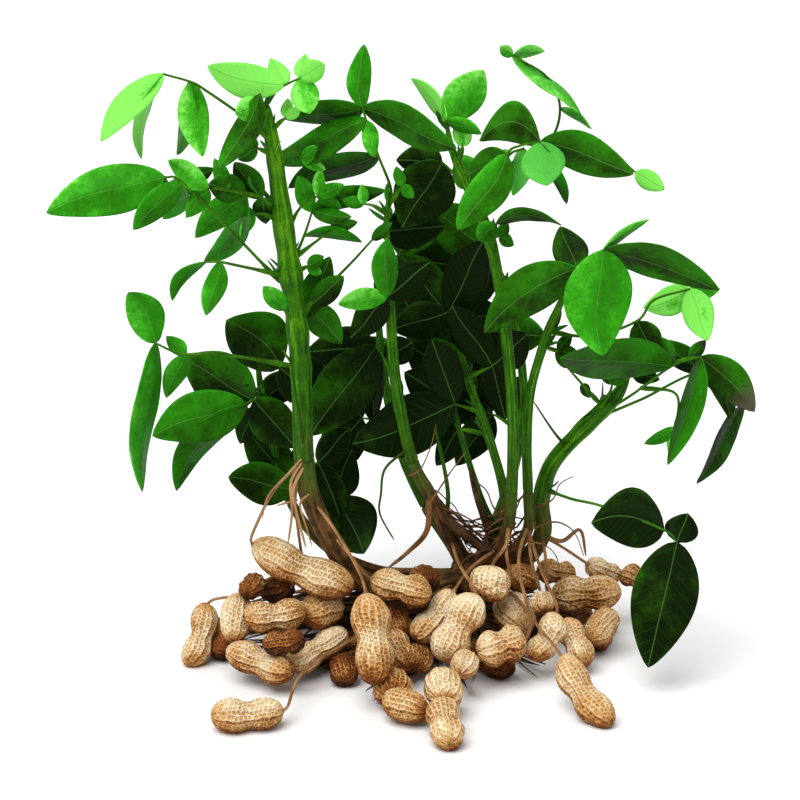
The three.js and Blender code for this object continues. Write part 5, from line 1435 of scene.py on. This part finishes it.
@dataclass
class LeafyStem:
    """A green stem with its petioles and leaflets, which stand for one CAD node."""

    plan: Stem
    blades: LeafBlades
    stalks: GeometryRecipe
    skin: bpy.types.Material
    cad: Piece
    seed: int
    step: float = 2.0
    knuckle: float = 0.07
    knuckle_at: float = 2.0
    knuckle_reach: float = 4.0
    blunt: Pair = (0.9, 0.5)
    taper: float = 0.22
    top_share: float = 0.38
    high: float = 150.0
    high_glow: float = 0.12
    bark_share: float = 0.3
    bark_run: float = 80.0
    stipule_length: Pair = (9.0, 14.0)
    stipule_width: float = 0.11
    stipule_lean: Row = (0.75, 0.55, 0.38)
    stipule_sunk: float = 0.5
    stipule_bow: float = 0.6
    shoot_glow: float = -0.06
    shoot_bark: float = 0.45
    petiole_glow: float = 0.05
    petiole_foot: float = 1.15
    petiole_end: float = 0.75
    slimness: float = 0.72
    swelling: float = 0.5
    swelling_at: float = 5.0
    threads: Sheet = field(default_factory=Sheet)
    leaflets: Sheet = field(default_factory=Sheet)

    def __post_init__(self) -> None:
        """Works out the stem's middle line and starts its source of small differences."""
        self.path = seen_path(self.plan.route)
        self.wild = np.random.default_rng(self.seed)

    def petiole(self, leaf: Leaf, shift: float = 0.0) -> SmoothPath:
        """The middle line of a leaf's petiole and rachis, moved back by the shift at its end."""
        count = len(leaf.route) - 1
        return seen_path((x, y, depth + shift * i / count)
                         for i, (x, y, depth) in enumerate(leaf.route))

    def cad_points(self) -> kdtree.KDTree:
        """Gathers the CAD node's points.

        Returns:
            The points, ready to be searched.
        """
        vertices = self.cad.data.vertices
        tree = kdtree.KDTree(len(vertices))
        for i, vertex in enumerate(vertices):
            tree.insert(to_millimetres(np.array(vertex.co)), i)
        tree.balance()
        return tree

    def settle(self, leaf: Leaf, cad: kdtree.KDTree) -> tuple[SmoothPath, list[BladePose]]:
        """Finds the petiole and the leaflets as the CAD model holds them.

        Args:
            leaf: The leaf's plan.
            cad: The CAD node's points.

        Returns:
            The petiole's path and a pose for each leaflet.
        """
        blades = self.blades
        count = len(leaf.route) - 1
        best: tuple[float, SmoothPath, list[BladePose]] = (math.inf, None, [])
        half = blades.cad_thickness / 2
        leans = np.arange(-blades.lean_tries, blades.lean_tries + 1) * blades.lean_step
        for turn in range(-blades.shift_tries, blades.shift_tries + 1):
            shift = turn * blades.lean_step
            path = self.petiole(leaf, shift)
            total, poses = 0.0, []
            for order, leaflet in enumerate(leaf.leaflets):
                at, tip_x, tip_y, _, planned = leaflet[:5]
                depth = leaf.route[int(at)][2] + shift * at / count
                tips = VIEW.seen(tip_x, tip_y, depth + planned + leans)
                misses = [abs(cad.find(tip)[2] - half) for tip in tips]
                lean = planned + leans[int(np.argmin(misses))]
                pose = blades.pose(path.at(at / count), leaflet, depth, lean, order)
                total += min(misses) * blades.tip_weight
                total += sum(min(blades.worst_probe, abs(cad.find(p)[2] - half))
                             for p in blades.probes(pose))
                poses.append(pose)
            if total < best[0]:
                best = (total, path, poses)
        LOG.info("leaf of %s at %s fits within %.2f", self.plan.name, leaf.route[-1][:2], best[0])
        return best[1], best[2]

    def planned(self, leaf: Leaf) -> tuple[SmoothPath, list[BladePose]]:
        """The petiole and the leaflets of a young leaf, just as they are planned.

        Args:
            leaf: The leaf's plan.

        Returns:
            The petiole's path and a pose for each leaflet.
        """
        count = len(leaf.route) - 1
        path = self.petiole(leaf)
        return path, [self.blades.pose(path.at(row[0] / count), row, leaf.route[int(row[0])][2],
                                       row[4], order) for order, row in enumerate(leaf.leaflets)]

    def build(self) -> list[Piece]:
        """Builds the stem.

        Returns:
            Its stalks and its leaflets.
        """
        name = self.plan.name
        cad = self.cad_points()
        settled = [(leaf, *self.settle(leaf, cad)) for leaf in LEAVES.get(name, ())]
        settled += [(leaf, *self.planned(leaf)) for leaf in YOUNG_LEAVES.get(name, ())]
        self.add_stem([path.at(0.0) for _, path, _ in settled])
        for shoot in SHOOTS.get(name, ()):
            self.add_shoot(shoot)
        for leaf, path, poses in settled:
            self.add_petiole(path)
            self.add_stipules(path)
            for letter, pose in zip(leaf.tones, poses):
                self.blades.add(self.leaflets, pose, Tone(letter), self.wild)
        stalks = self.threads.build(f"{name}_stalks")
        self.stalks.apply(stalks, self.skin, rib_height=0.045)
        leaflets = self.leaflets.build(f"{name}_leaflets")
        self.blades.recipe.apply(leaflets, self.blades.finish, seed=float(self.seed))
        return [hand_over(piece, name) for piece in (stalks, leaflets)]

    def add_stem(self, feet: list[Array]) -> None:
        """Adds the green stem with a knuckle at each petiole's foot.

        Args:
            feet: The petioles' feet.
        """
        start = self.plan.green / self.path.spans
        u = self.path.shares(self.step, 12, start)
        points = self.path.at(u)
        radius = self.plan.foot + (self.plan.top - self.plan.foot) * u
        for foot in feet:
            near = np.linalg.norm(points - foot, axis=1)
            bump = np.exp(-((near - self.knuckle_at) / self.knuckle_reach) ** 2)
            radius = radius * (1 + self.knuckle * bump)
        top = np.clip((u - 1) / self.taper + 1, 0, 1)
        radius = radius * (1 - (1 - self.top_share) * top**1.5)
        radius[-2:] *= self.blunt
        run = (u - start) * self.path.length()
        glow = self.high_glow * np.clip(points[:, 2] / self.high - 1, 0, 1)
        bark = np.clip(self.bark_share - run / self.bark_run, 0, 1)
        self.threads.add_thread(points, radius, glow, bark)

    def add_stipules(self, path: SmoothPath) -> None:
        """Adds the two narrow pointed leaves that sheathe a petiole's foot.

        Args:
            path: The petiole's middle line.
        """
        foot = path.at(0.0)
        shares = np.linspace(0, 1, 60)
        near = float(shares[np.argmin(np.linalg.norm(self.path.at(shares) - foot, axis=1))])
        rise, out = self.path.tangent(near), path.tangent(0.02)
        apart = unit(np.cross(rise, out))
        up, away, aside = self.stipule_lean
        for way in (-1.0, 1.0):
            along = unit(rise * up + out * away + apart * aside * way)
            face = unit(np.cross(apart * way, along))
            side = unit(np.cross(face, along))
            length = self.wild.uniform(*self.stipule_length)
            pose = BladePose(foot - along * self.stipule_sunk, along, side, side, face, length,
                             length * self.stipule_width, self.stipule_bow * way)
            self.blades.add(self.leaflets, pose, Tone.MID, self.wild)

    def add_shoot(self, shoot: Thread) -> None:
        """Adds a bare side shoot.

        Args:
            shoot: Its plan.
        """
        path = seen_path(shoot.route)
        u = path.shares(self.step, 8)
        radius = shoot.foot + (shoot.tip - shoot.foot) * u
        radius[-1] *= self.blunt[-1]
        bark = np.clip(self.shoot_bark - u, 0, 1)
        self.threads.add_thread(path.at(u), radius, self.shoot_glow, bark)

    def add_petiole(self, path: SmoothPath) -> None:
        """Adds a petiole with a swollen foot.

        Args:
            path: Its middle line.
        """
        u = path.shares(self.step, 8)
        radius = self.petiole_foot + (self.petiole_end - self.petiole_foot) * u
        past = u * path.length() - self.swelling_at
        swollen = self.swelling * np.exp(-(past / self.knuckle_reach) ** 2)
        radius = radius * (self.slimness + swollen)
        self.threads.add_thread(path.at(u), radius, self.petiole_glow)


@dataclass(frozen=True)
class PodPose:
    """Where a pod lies: its first end, its directions and its sizes, in millimetres."""

    start: Array
    along: Array
    side: Array
    other: Array
    length: float
    radius: float
    bow: float
    seeds: int

    def middle(self, t: Numbers) -> Array:
        """Points of the pod's middle line."""
        t = np.asarray(t, float)
        return (self.start + np.multiply.outer(self.length * t, self.along)
                + np.multiply.outer(self.bow * 4 * t * (1 - t), self.side))


@dataclass
class PodHeap:
    """All the pods, each of which stands for one CAD node."""

    plump: float = 1.12
    grid: tuple[int, int] = (72, 52)
    hidden_grid: tuple[int, int] = (48, 32)
    seat_grid: tuple[int, int] = (24, 16)
    seat_rounds: int = 5
    waist: float = 0.2
    shown_waist: float = 0.29
    waist_run: float = 0.14
    end_power: float = 2.6
    side_power: float = 2.2
    fade_span: Pair = (0.02, 0.98)
    fade_power: float = 0.4
    soil_spread: Pair = (-0.05, 0.06)
    chain_links: int = 9
    bluntness: float = 1.4
    # darkening by words in pod names: partly real soil, partly painted shade on pods that lie deep,
    # behind or under the heap
    soil_and_shade_by_name: dict[str, float] = field(default_factory=lambda: {
        "brown": 0.16, "big": 0.07, "dark": 0.24, "deep": 0.2, "behind": 0.12, "back": 0.1, "under": 0.2})
    recipe: GeometryRecipe = field(init=False)
    finish: bpy.types.Material = field(init=False)
    poses: dict[str, PodPose] = field(default_factory=dict)

    def __post_init__(self) -> None:
        """Makes the pods' recipe and finish, finds every pod and fills it with a row of balls."""
        self.recipe = ShellRecipe("pod_shell", net_height=0.0008, lump_height=0.0042,
                                  lump_scale=48.0)
        self.finish = ShellFinish("pod_shell").make()
        for plan in PODS:
            self.poses[plan.name] = self.seat(plan.name, partial(self.planned, plan))
        for plan in HIDDEN_PODS:
            heading = math.radians(plan.heading)
            half = np.array([math.cos(heading), math.sin(heading), 0]) * plan.length / 2
            pose = self.pose(-half, half, plan.width / 2, 0.0, 2)
            self.poses[plan.name] = self.seat(plan.name, lambda depth, pose=pose: pose)
        t = (np.arange(self.chain_links) + 0.5) / self.chain_links
        blunt = np.minimum(t, 1 - t) * self.bluntness
        self.middles = np.vstack([pose.middle(t) for pose in self.poses.values()])
        self.radii = np.concatenate([
            np.minimum(blunt * pose.length, pose.radius * self.outline(t, pose.seeds, self.waist))
            for pose in self.poses.values()])

    def outline(self, t: Array, seeds: int, waist: float) -> Array:
        """Half the width of a pod along its length, where the widest is 1."""
        ends = np.abs(2 * t - 1) ** self.end_power
        body = np.clip(1 - ends, 0, None) ** (1 / self.side_power)
        return body * (1 - (seeds == 2) * waist * np.exp(-(((t - 0.5) / self.waist_run) ** 2)))

    def pose(self, start: Array, end: Array, radius: float, bow: float,
             seeds: int) -> PodPose:
        """A pod between two ends.

        Args:
            start: The end on the peg.
            end: The far end.
            radius: Half its width.
            bow: How far its middle lies to one side.
            seeds: One or two.

        Returns:
            The pod's pose.
        """
        along = unit(end - start)
        side = unit(np.cross(along, unit(start - VIEW.eye)))
        return PodPose(start, along, side, np.cross(along, side),
                       float(np.linalg.norm(end - start)), radius, bow, seeds)

    def planned(self, plan: Pod, depth: float) -> PodPose:
        """The planned pod at a depth."""
        return self.pose(VIEW.seen(*plan.start, depth - plan.lean / 2),
                         VIEW.seen(*plan.end, depth + plan.lean / 2),
                         plan.width * VIEW.mm_per_pixel / 2 * self.plump,
                         plan.bow * VIEW.mm_per_pixel, plan.seeds)

    def form(self, pose: PodPose, grid: tuple[int, int], waist: float) -> tuple[Array, Array, Array]:
        """Points of a smooth pod.

        Args:
            pose: The pod's pose.
            grid: Points round it and steps along it.
            waist: How deep a pod with two seeds is pinched.

        Returns:
            The points, and the share of the length and of the turn of each.
        """
        sides, rings = grid
        t, turn = net_shares((1 - np.cos(np.pi * np.arange(1, rings) / rings)) / 2,
                             np.arange(sides) / sides)
        radius = pose.radius * self.outline(t, pose.seeds, waist)
        points = (pose.middle(t) + np.outer(radius * np.cos(math.tau * turn), pose.side)
                  + np.outer(radius * np.sin(math.tau * turn), pose.other))
        return points, t, turn

    def seat(self, name: str, pose_at: Callable[[float], PodPose]) -> PodPose:
        """Finds a pod as the CAD model holds it, from its node's box.

        Args:
            name: The CAD node.
            pose_at: Gives the pod's pose at a depth.

        Returns:
            The pod's pose.
        """
        low, high = (to_millimetres(np.array(corner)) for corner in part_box(name))
        depth = 0.0
        for _ in range(self.seat_rounds):
            pose = pose_at(depth)
            points, _, _ = self.form(pose, self.seat_grid, self.waist)
            off = (low + high) / 2 - (points.min(0) + points.max(0)) / 2
            off[2] = high[2] - points.max(0)[2]
            depth += off[1]
        return replace(pose, start=pose.start + off)

    def cleared(self, points: Array, room: float, pull: float, rounds: int,
                own: Optional[str] = None, free: int = 0) -> Array:
        """Draws a thread taut and pushes it out of the pods.

        Args:
            points: Points of the thread, whose two ends stay.
            room: Distance that it keeps from a pod's skin.
            pull: Share of the way to its neighbours' middle that a point goes in a round.
            rounds: Number of rounds.
            own: The pod that it ends in, if any.
            free: Number of points next to that end which may enter their own pod.

        Returns:
            The thread's points.
        """
        mine = np.repeat([name == own for name in self.poses], self.chain_links)
        fine = points.copy()
        last = np.arange(1, len(fine) - 1) >= len(fine) - 1 - free
        for _ in range(rounds):
            before = fine.copy()
            fine[1:-1] += pull * ((before[:-2] + before[2:]) / 2 - fine[1:-1])
            away = fine[1:-1, None] - self.middles[None]
            far = np.linalg.norm(away, axis=2)
            short = self.radii + room - far
            short[np.logical_and.outer(last, mine)] = -1.0
            worst = np.argmax(short, axis=1)
            rows = np.arange(len(worst))
            push = np.maximum(short[rows, worst], 0) / far[rows, worst]
            fine[1:-1] += away[rows, worst] * push[:, None]
        return fine

    def build(self, name: str, seed: int) -> Piece:
        """Builds one pod.

        Args:
            name: The CAD node that it stands for.
            seed: Seed of its net and its colours.

        Returns:
            The piece.
        """
        pose = self.poses[name]
        hidden = any(plan.name == name for plan in HIDDEN_PODS)
        sides, rings = grid = self.hidden_grid if hidden else self.grid
        points, t, turn = self.form(pose, grid, self.shown_waist)
        soil = np.random.default_rng(seed).uniform(*self.soil_spread)
        # partly real soil, partly painted shade for pods that lie in shade
        soil += sum(amount for word, amount in self.soil_and_shade_by_name.items() if word in name)
        sheet = Sheet()
        sheet.add(points, net_faces(rings - 1, sides, True), turn_sine=np.sin(math.tau * turn),
                  turn_cosine=np.cos(math.tau * turn), rise=t * pose.length, soil=soil, seed=seed,
                  fade=np.sin(np.pi * np.clip(t, *self.fade_span)) ** self.fade_power)
        piece = sheet.build(f"{name}_shell")
        self.recipe.apply(piece, self.finish)
        return hand_over(piece, name)


@dataclass
class RootCrown:
    """The crown with the brown stems, the taproot, the pegs and the fine roots."""

    heap: PodHeap
    stalks: GeometryRecipe
    head_radius: float = 10.5
    head_height: float = 24.0
    tap_top: float = 7.0
    tap_tip: float = 2.2
    tap_foot: float = 1.5
    tap_slant: Pair = (-4.0, 3.0)
    tap_bow: float = 2.0
    head_rings: Row = (-0.48, -0.2, 0.2, 0.48)
    head_end: float = 0.03
    wood_glow: float = -0.05
    side_glow: float = -0.1
    pale_glow: float = 0.1
    twig_glow: float = 0.06
    tip_share: float = 0.6
    peg_radius: float = 0.85
    peg_flare: float = 0.9
    peg_flare_run: float = 2.2
    peg_neck: float = 4.5
    peg_sunk: float = 0.8
    peg_room: float = 2.0
    peg_pull: float = 0.1
    peg_rounds: int = 100
    peg_free: int = 6
    taper_least: float = 0.3
    taper_run: float = 7.0
    green_from: float = 0.95
    green_run: float = 45.0
    rootlets: int = 200
    rootlet_spread: Pair = (1.35, 0.9)
    rootlet_reach: Pair = (12.0, 62.0)
    rootlet_height: Pair = (2.0, 22.0)
    rootlet_radius: Pair = (0.4, 0.9)
    rootlet_tip: float = 0.2
    rootlet_glow: float = -0.08
    rootlet_from: Pair = (0.1, 0.95)
    rootlet_front: Pair = (-0.4, 0.78)
    rootlet_back: Pair = (0.3, 0.55)
    rootlet_stray: float = 0.44
    mat_roots: int = 220
    mat_height: Pair = (1.5, 9.0)
    mat_ceiling: float = 12.0
    mat_radius: Pair = (0.8, 1.6)
    mat_tip: float = 0.4
    mat_glow: float = -0.02
    mat_stray: float = 0.22
    mat_miss: float = 3.0
    mat_step: float = 3.4
    mound_roots: int = 130
    mound_depth: Pair = (5.0, 60.0)
    mound_side: Pair = (-85.0, 10.0)
    mound_top: float = 36.0
    mound_slope: float = 0.4
    mound_ceiling: float = 40.0
    root_room: float = 0.8
    root_pull: float = 0.15
    root_rounds: int = 16
    root_floor: float = 1.2
    root_ceiling: float = 60.0
    fibres: int = 38
    fibre_radius: Pair = (0.35, 0.9)
    fibre_tip: float = 0.3
    fibre_stray: float = 1.1
    fibred: tuple[str, ...] = ("stem_centre_left", "stem_centre", "stem_centre_right",
                               "stem_right", "stem_far_right")
    thick: Sheet = field(default_factory=Sheet)
    thin: Sheet = field(default_factory=Sheet)
    fine: Sheet = field(default_factory=Sheet)

    def __post_init__(self) -> None:
        """Works out the taproot's middle line and starts the source of the roots' courses."""
        self.wild = np.random.default_rng(11)
        top = VIEW.seen(*HEAD)
        foot = np.array([*(top[:2] + self.tap_slant), self.tap_foot])
        self.tap = SmoothPath([top, (top + foot) / 2 + np.array([self.tap_bow, 0, 0]), foot])

    def add_tube(self, sheet: Sheet, path: SmoothPath, first: float, last: float,
                 glow: float, end: float = 1.0, greened: float = 0.0, tapered: bool = False,
                 step: float = 1.6) -> None:
        """Adds a round root along a path.

        Args:
            sheet: The sheet that it joins.
            path: Its middle line.
            first: Its radius at the path's start.
            last: Its radius at the path's end.
            glow: How pale it is.
            end: Share of the path where it ends.
            greened: How far it turns green towards its end.
            tapered: Whether both its ends run out to a point.
            step: Distance between its rings.
        """
        u = path.shares(step, 6, 0.0, end)
        radius = first + (last - first) * u
        radius[-1] *= self.tip_share
        if tapered:
            to_end = np.minimum(u, 1 - u) * path.length()
            radius = radius * np.clip(self.taper_least + to_end / self.taper_run, 0, 1) ** 0.5
        left = (end - u) * path.length()
        turned = greened * np.clip(self.green_from - left / self.green_run, 0, 1)
        sheet.add_thread(path.at(u), radius, glow, turned)

    def add_knob(self) -> None:
        """Adds the swollen head of the crown."""
        path = SmoothPath(self.tap.at(0.0) + np.array([0, 0, z * self.head_height])
                          for z in self.head_rings)
        u = np.linspace(0, 1, 14)
        radius = self.head_radius * np.sqrt(np.clip(1 - (2 * u - 1) ** 2, self.head_end, 1))
        self.thick.add_thread(path.at(u), radius, self.wood_glow)

    def add_peg(self, plan: Peg) -> None:
        """Adds a peg, pushed clear of every pod like a taut string, with its flared neck.

        Args:
            plan: The peg's plan.
        """
        pose = self.heap.poses[plan.pod]
        end = pose.start + pose.along * self.peg_sunk
        points = [VIEW.seen(*place) for place in plan.route]
        points += [end - pose.along * self.peg_neck, end]
        fine = SmoothPath(points).at(np.linspace(0, 1, (len(points) - 1) * 4 + 1))
        path = SmoothPath(self.heap.cleared(fine, self.peg_room, self.peg_pull, self.peg_rounds,
                                            plan.pod, self.peg_free))
        u = path.shares(1.4, 10)
        left = (1 - u) * path.length()
        flare = self.peg_flare * np.exp(-((left / self.peg_flare_run) ** 2))
        radius = self.peg_radius * (0.95 + flare)
        self.thin.add_thread(path.at(u), radius, 0.0)

    def build(self) -> list[Piece]:
        """Builds the crown.

        Returns:
            The wood, the pegs and the fine roots.
        """
        for stem in STEMS:
            path = seen_path(stem.route)
            self.add_tube(self.thick, path, stem.foot, stem.top, 0.0, stem.green / path.spans, 1.0)
        self.add_tube(self.thick, self.tap, self.tap_top, self.tap_tip, self.wood_glow)
        self.add_knob()
        for plan in PEGS:
            self.add_peg(plan)
        for plans, glow in ((SIDE_ROOTS, self.side_glow), (PALE_TWIGS, self.pale_glow)):
            for plan in plans:
                self.add_tube(self.thick if plan.foot > 2 else self.thin, seen_path(plan.route),
                              plan.foot, plan.tip, glow, tapered=plan.foot < 3)
        self.add_rootlets()
        for plan in TWIGS:
            self.add_tube(self.fine, seen_path(plan.route), plan.foot, plan.tip, self.twig_glow)
        self.add_mat()
        self.add_fibres()
        bark = StreakFinish(
            "root_bark", shine=0.12, rough=0.8, streak_length=0.03, patch_share=0.5,
            other=(0.07, 0.17, 0.015), tones=((0.012, 0.007, 0.003), (0.05, 0.028, 0.012),
                                              (0.15, 0.07, 0.022), (0.44, 0.25, 0.09))).make()
        skin = StreakFinish(
            "peg_skin", shine=0.12, rough=0.7, streak_length=0.03, patch_share=0.4,
            tones=((0.07, 0.026, 0.008), (0.22, 0.1, 0.035), (0.42, 0.22, 0.09),
                   (0.66, 0.42, 0.2))).make()
        pieces = []
        for name, sheet, finish, sides, ribs in (
                ("wood", self.thick, bark, 24, 7), ("pegs", self.thin, skin, 8, 2),
                ("rootlets", self.fine, bark, 4, 1)):
            piece = sheet.build(f"root_crown_{name}")
            self.stalks.apply(piece, finish, sides=sides, ribs=ribs)
            pieces.append(hand_over(piece, "root_crown"))
        return pieces

    def strayed(self, start: Array, end: Array, count: int, stray: float,
                rounds: int = 2) -> Array:
        """Points of a thread that winds from a start to an end.

        Args:
            start: Its first point.
            end: Its last point.
            count: Number of points.
            stray: How far each step strays.
            rounds: How smooth its bends are.

        Returns:
            A row for each point.
        """
        shares = np.linspace(0, 1, count)[:, None]
        bends = self.wild.normal(0, stray, (count, 3))
        for _ in range(rounds):
            bends = np.cumsum(bends, axis=0)
        return start + (end - start) * shares + bends - bends[-1] * shares

    def bedded(self, points: Array, ceiling: float, floor: float) -> SmoothPath:
        """A root that is kept above the floor and out of the pods.

        Args:
            points: Its points.
            ceiling: How high it may run before the pods push it.
            floor: How low it may run after that.

        Returns:
            Its path.
        """
        points[:, 2] = np.clip(points[:, 2], self.root_floor, ceiling)
        points = self.heap.cleared(points, self.root_room, self.root_pull, self.root_rounds)
        points[:, 2] = np.clip(points[:, 2], floor, self.root_ceiling)
        return SmoothPath(points)

    def add_rootlets(self) -> None:
        """Adds fine roots from the taproot, shorter in front and at the back than at the sides."""
        wild = self.wild
        front, shorter = self.rootlet_front
        back, shortest = self.rootlet_back
        for _ in range(self.rootlets):
            start = self.tap.at(float(wild.uniform(*self.rootlet_from)))
            heading = wild.uniform(0, math.tau)
            wide, deep = self.rootlet_spread
            out = np.array([math.cos(heading) * wide, math.sin(heading) * deep, 0.0])
            share = shorter if out[1] < front else 1.0 if out[1] < back else shortest
            end = start + out * wild.uniform(*self.rootlet_reach) * share
            end[2] = wild.uniform(*self.rootlet_height)
            points = self.strayed(start, end, 20, self.rootlet_stray)
            path = self.bedded(points, self.root_ceiling, 0.8)
            radius = wild.uniform(*self.rootlet_radius)
            self.add_tube(self.fine, path, radius, self.rootlet_tip, self.rootlet_glow)

    def add_mat(self) -> None:
        """Adds long roots under the heap, and roots in the mound behind the left pods. They are partly
        real roots and partly dark fill that stands for the shade in the gaps between the pods.
        """
        wild = self.wild
        # partly painted shade: dark roots fill the shaded gaps between and behind the pods
        pods = [pose.middle(0.5) for name, pose in self.heap.poses.items()
                if not any(word in name for word in ("front", "far", "edge", "end", "low"))]
        for order in range(self.mat_roots + self.mound_roots):
            mound = order >= self.mat_roots
            start = self.tap.at(float(wild.uniform(0.5, 1.0) - 0.4 * mound))
            end = pods[int(wild.integers(len(pods)))] + wild.normal(0, self.mat_miss, 3)
            end = start + (end - start) * wild.uniform(0.8, 1.0)
            end[2] = wild.uniform(*self.mat_height)
            if mound:
                back = wild.uniform(*self.mound_depth)
                top = self.mound_top - self.mound_slope * back
                end = np.array([wild.uniform(*self.mound_side), back, wild.uniform(3.0, top)])
            count = max(10, int(np.linalg.norm(end - start) / 3))
            points = self.strayed(start, end, count, self.mat_stray)
            path = self.bedded(points, self.mound_ceiling if mound else self.mat_ceiling, 0.9)
            radius = wild.uniform(*self.mat_radius)
            self.add_tube(self.fine, path, radius, self.mat_tip, self.mat_glow, step=self.mat_step)

    def add_fibres(self) -> None:
        """Adds the short fibres that cross between the stems' feet, pale ones and dark ones."""
        wild = self.wild
        paths = [seen_path(stem.route[:stem.green + 1]) for stem in STEMS
                 if stem.name in self.fibred]
        for order in range(self.fibres):
            first, second = wild.choice(len(paths), 2, replace=False)
            start = paths[first].at(float(wild.uniform(0.5, 1.0)))
            end = paths[second].at(float(wild.uniform(0.0, 0.5)))
            path = SmoothPath(self.strayed(start, end, 10, self.fibre_stray, 1))
            self.add_tube(self.fine if order % 2 else self.thin, path,
                          wild.uniform(*self.fibre_radius), self.fibre_tip, self.rootlet_glow,
                          step=2.4)


@dataclass
class Studio:
    """The floor, the soft lights and the camera."""

    floor_size: float = 40.0
    world_light: float = 0.36
    sun_light: float = 3.1
    back_light: float = 0.8
    sun_spread: float = 50.0
    sensor: float = 36.0
    clip: Pair = (0.05, 60.0)

    def build(self) -> None:
        """Makes the floor, the world, the lights and the camera."""
        sheet = bpy.data.meshes.new("floor")
        half = self.floor_size / 2
        corners = [(-half, -half, 0), (half, -half, 0), (half, half, 0), (-half, half, 0)]
        sheet.from_pydata(corners, [], [(0, 1, 2, 3)])
        sheet.materials.append(FloorFinish("pale_floor").make())
        self.put("floor", sheet, (0.0, 0.0, 0.0))
        world = bpy.data.worlds.new("studio")
        world.use_nodes = True
        background = world.node_tree.nodes["Background"]
        background.inputs["Color"].default_value = (1.0, 1.0, 1.0, 1.0)
        background.inputs["Strength"].default_value = self.world_light
        bpy.context.scene.world = world
        bpy.context.scene.view_settings.view_transform = "Standard"
        for name, place, strength in (("key_light", (-0.36, -0.5, 1.2), self.sun_light),
                                      ("back_light", (0.5, 0.8, 1.1), self.back_light)):
            data = bpy.data.lights.new(name, "SUN")
            data.energy = strength
            data.angle = math.radians(self.sun_spread)
            self.put(name, data, place, -Vector(place))
        data = bpy.data.cameras.new("camera")
        data.lens = VIEW.lens
        data.sensor_width = self.sensor
        data.clip_start, data.clip_end = self.clip
        bpy.context.scene.camera = self.put("camera", data, to_metres(VIEW.eye),
                                            Vector(VIEW.forward))

    @staticmethod
    def put(name: str, data: bpy.types.ID, place: Sequence[float],
            towards: Optional[Vector] = None) -> Piece:
        """Puts a thing into the scene.

        Args:
            name: Its name.
            data: Its mesh, light or camera.
            place: Where it is, in metres.
            towards: Where it looks, if anywhere.

        Returns:
            The object.
        """
        made = bpy.data.objects.new(name, data)
        made.location = place
        if towards is not None:
            made.rotation_euler = towards.to_track_quat("-Z", "Y").to_euler()
        bpy.context.scene.collection.objects.link(made)
        return made


def main() -> None:
    """Builds the plant, piece by piece, and the studio round it."""
    logging.basicConfig(level=logging.INFO, format="%(name)s: %(message)s", force=True)
    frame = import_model()
    stalks = StalkRecipe("stalks", sides=24, ribs=7, rib_height=0.06)
    skin = StreakFinish("stalk_skin").make()
    blades = LeafBlades()
    pieces: list[Piece] = []
    for number, plan in enumerate(STEMS):
        node = frame["nodes"][plan.name]
        pieces += LeafyStem(plan, blades, stalks, skin, node, 100 + number).build()
    heap = PodHeap()
    pieces += [heap.build(name, 10 + number) for number, name in enumerate(heap.poses)]
    pieces += RootCrown(heap, stalks).build()
    for piece in pieces:
        LOG.info("%s: %d faces", piece.name, len(piece.data.polygons))
    Studio().build()


if __name__ == "__main__":
    main()
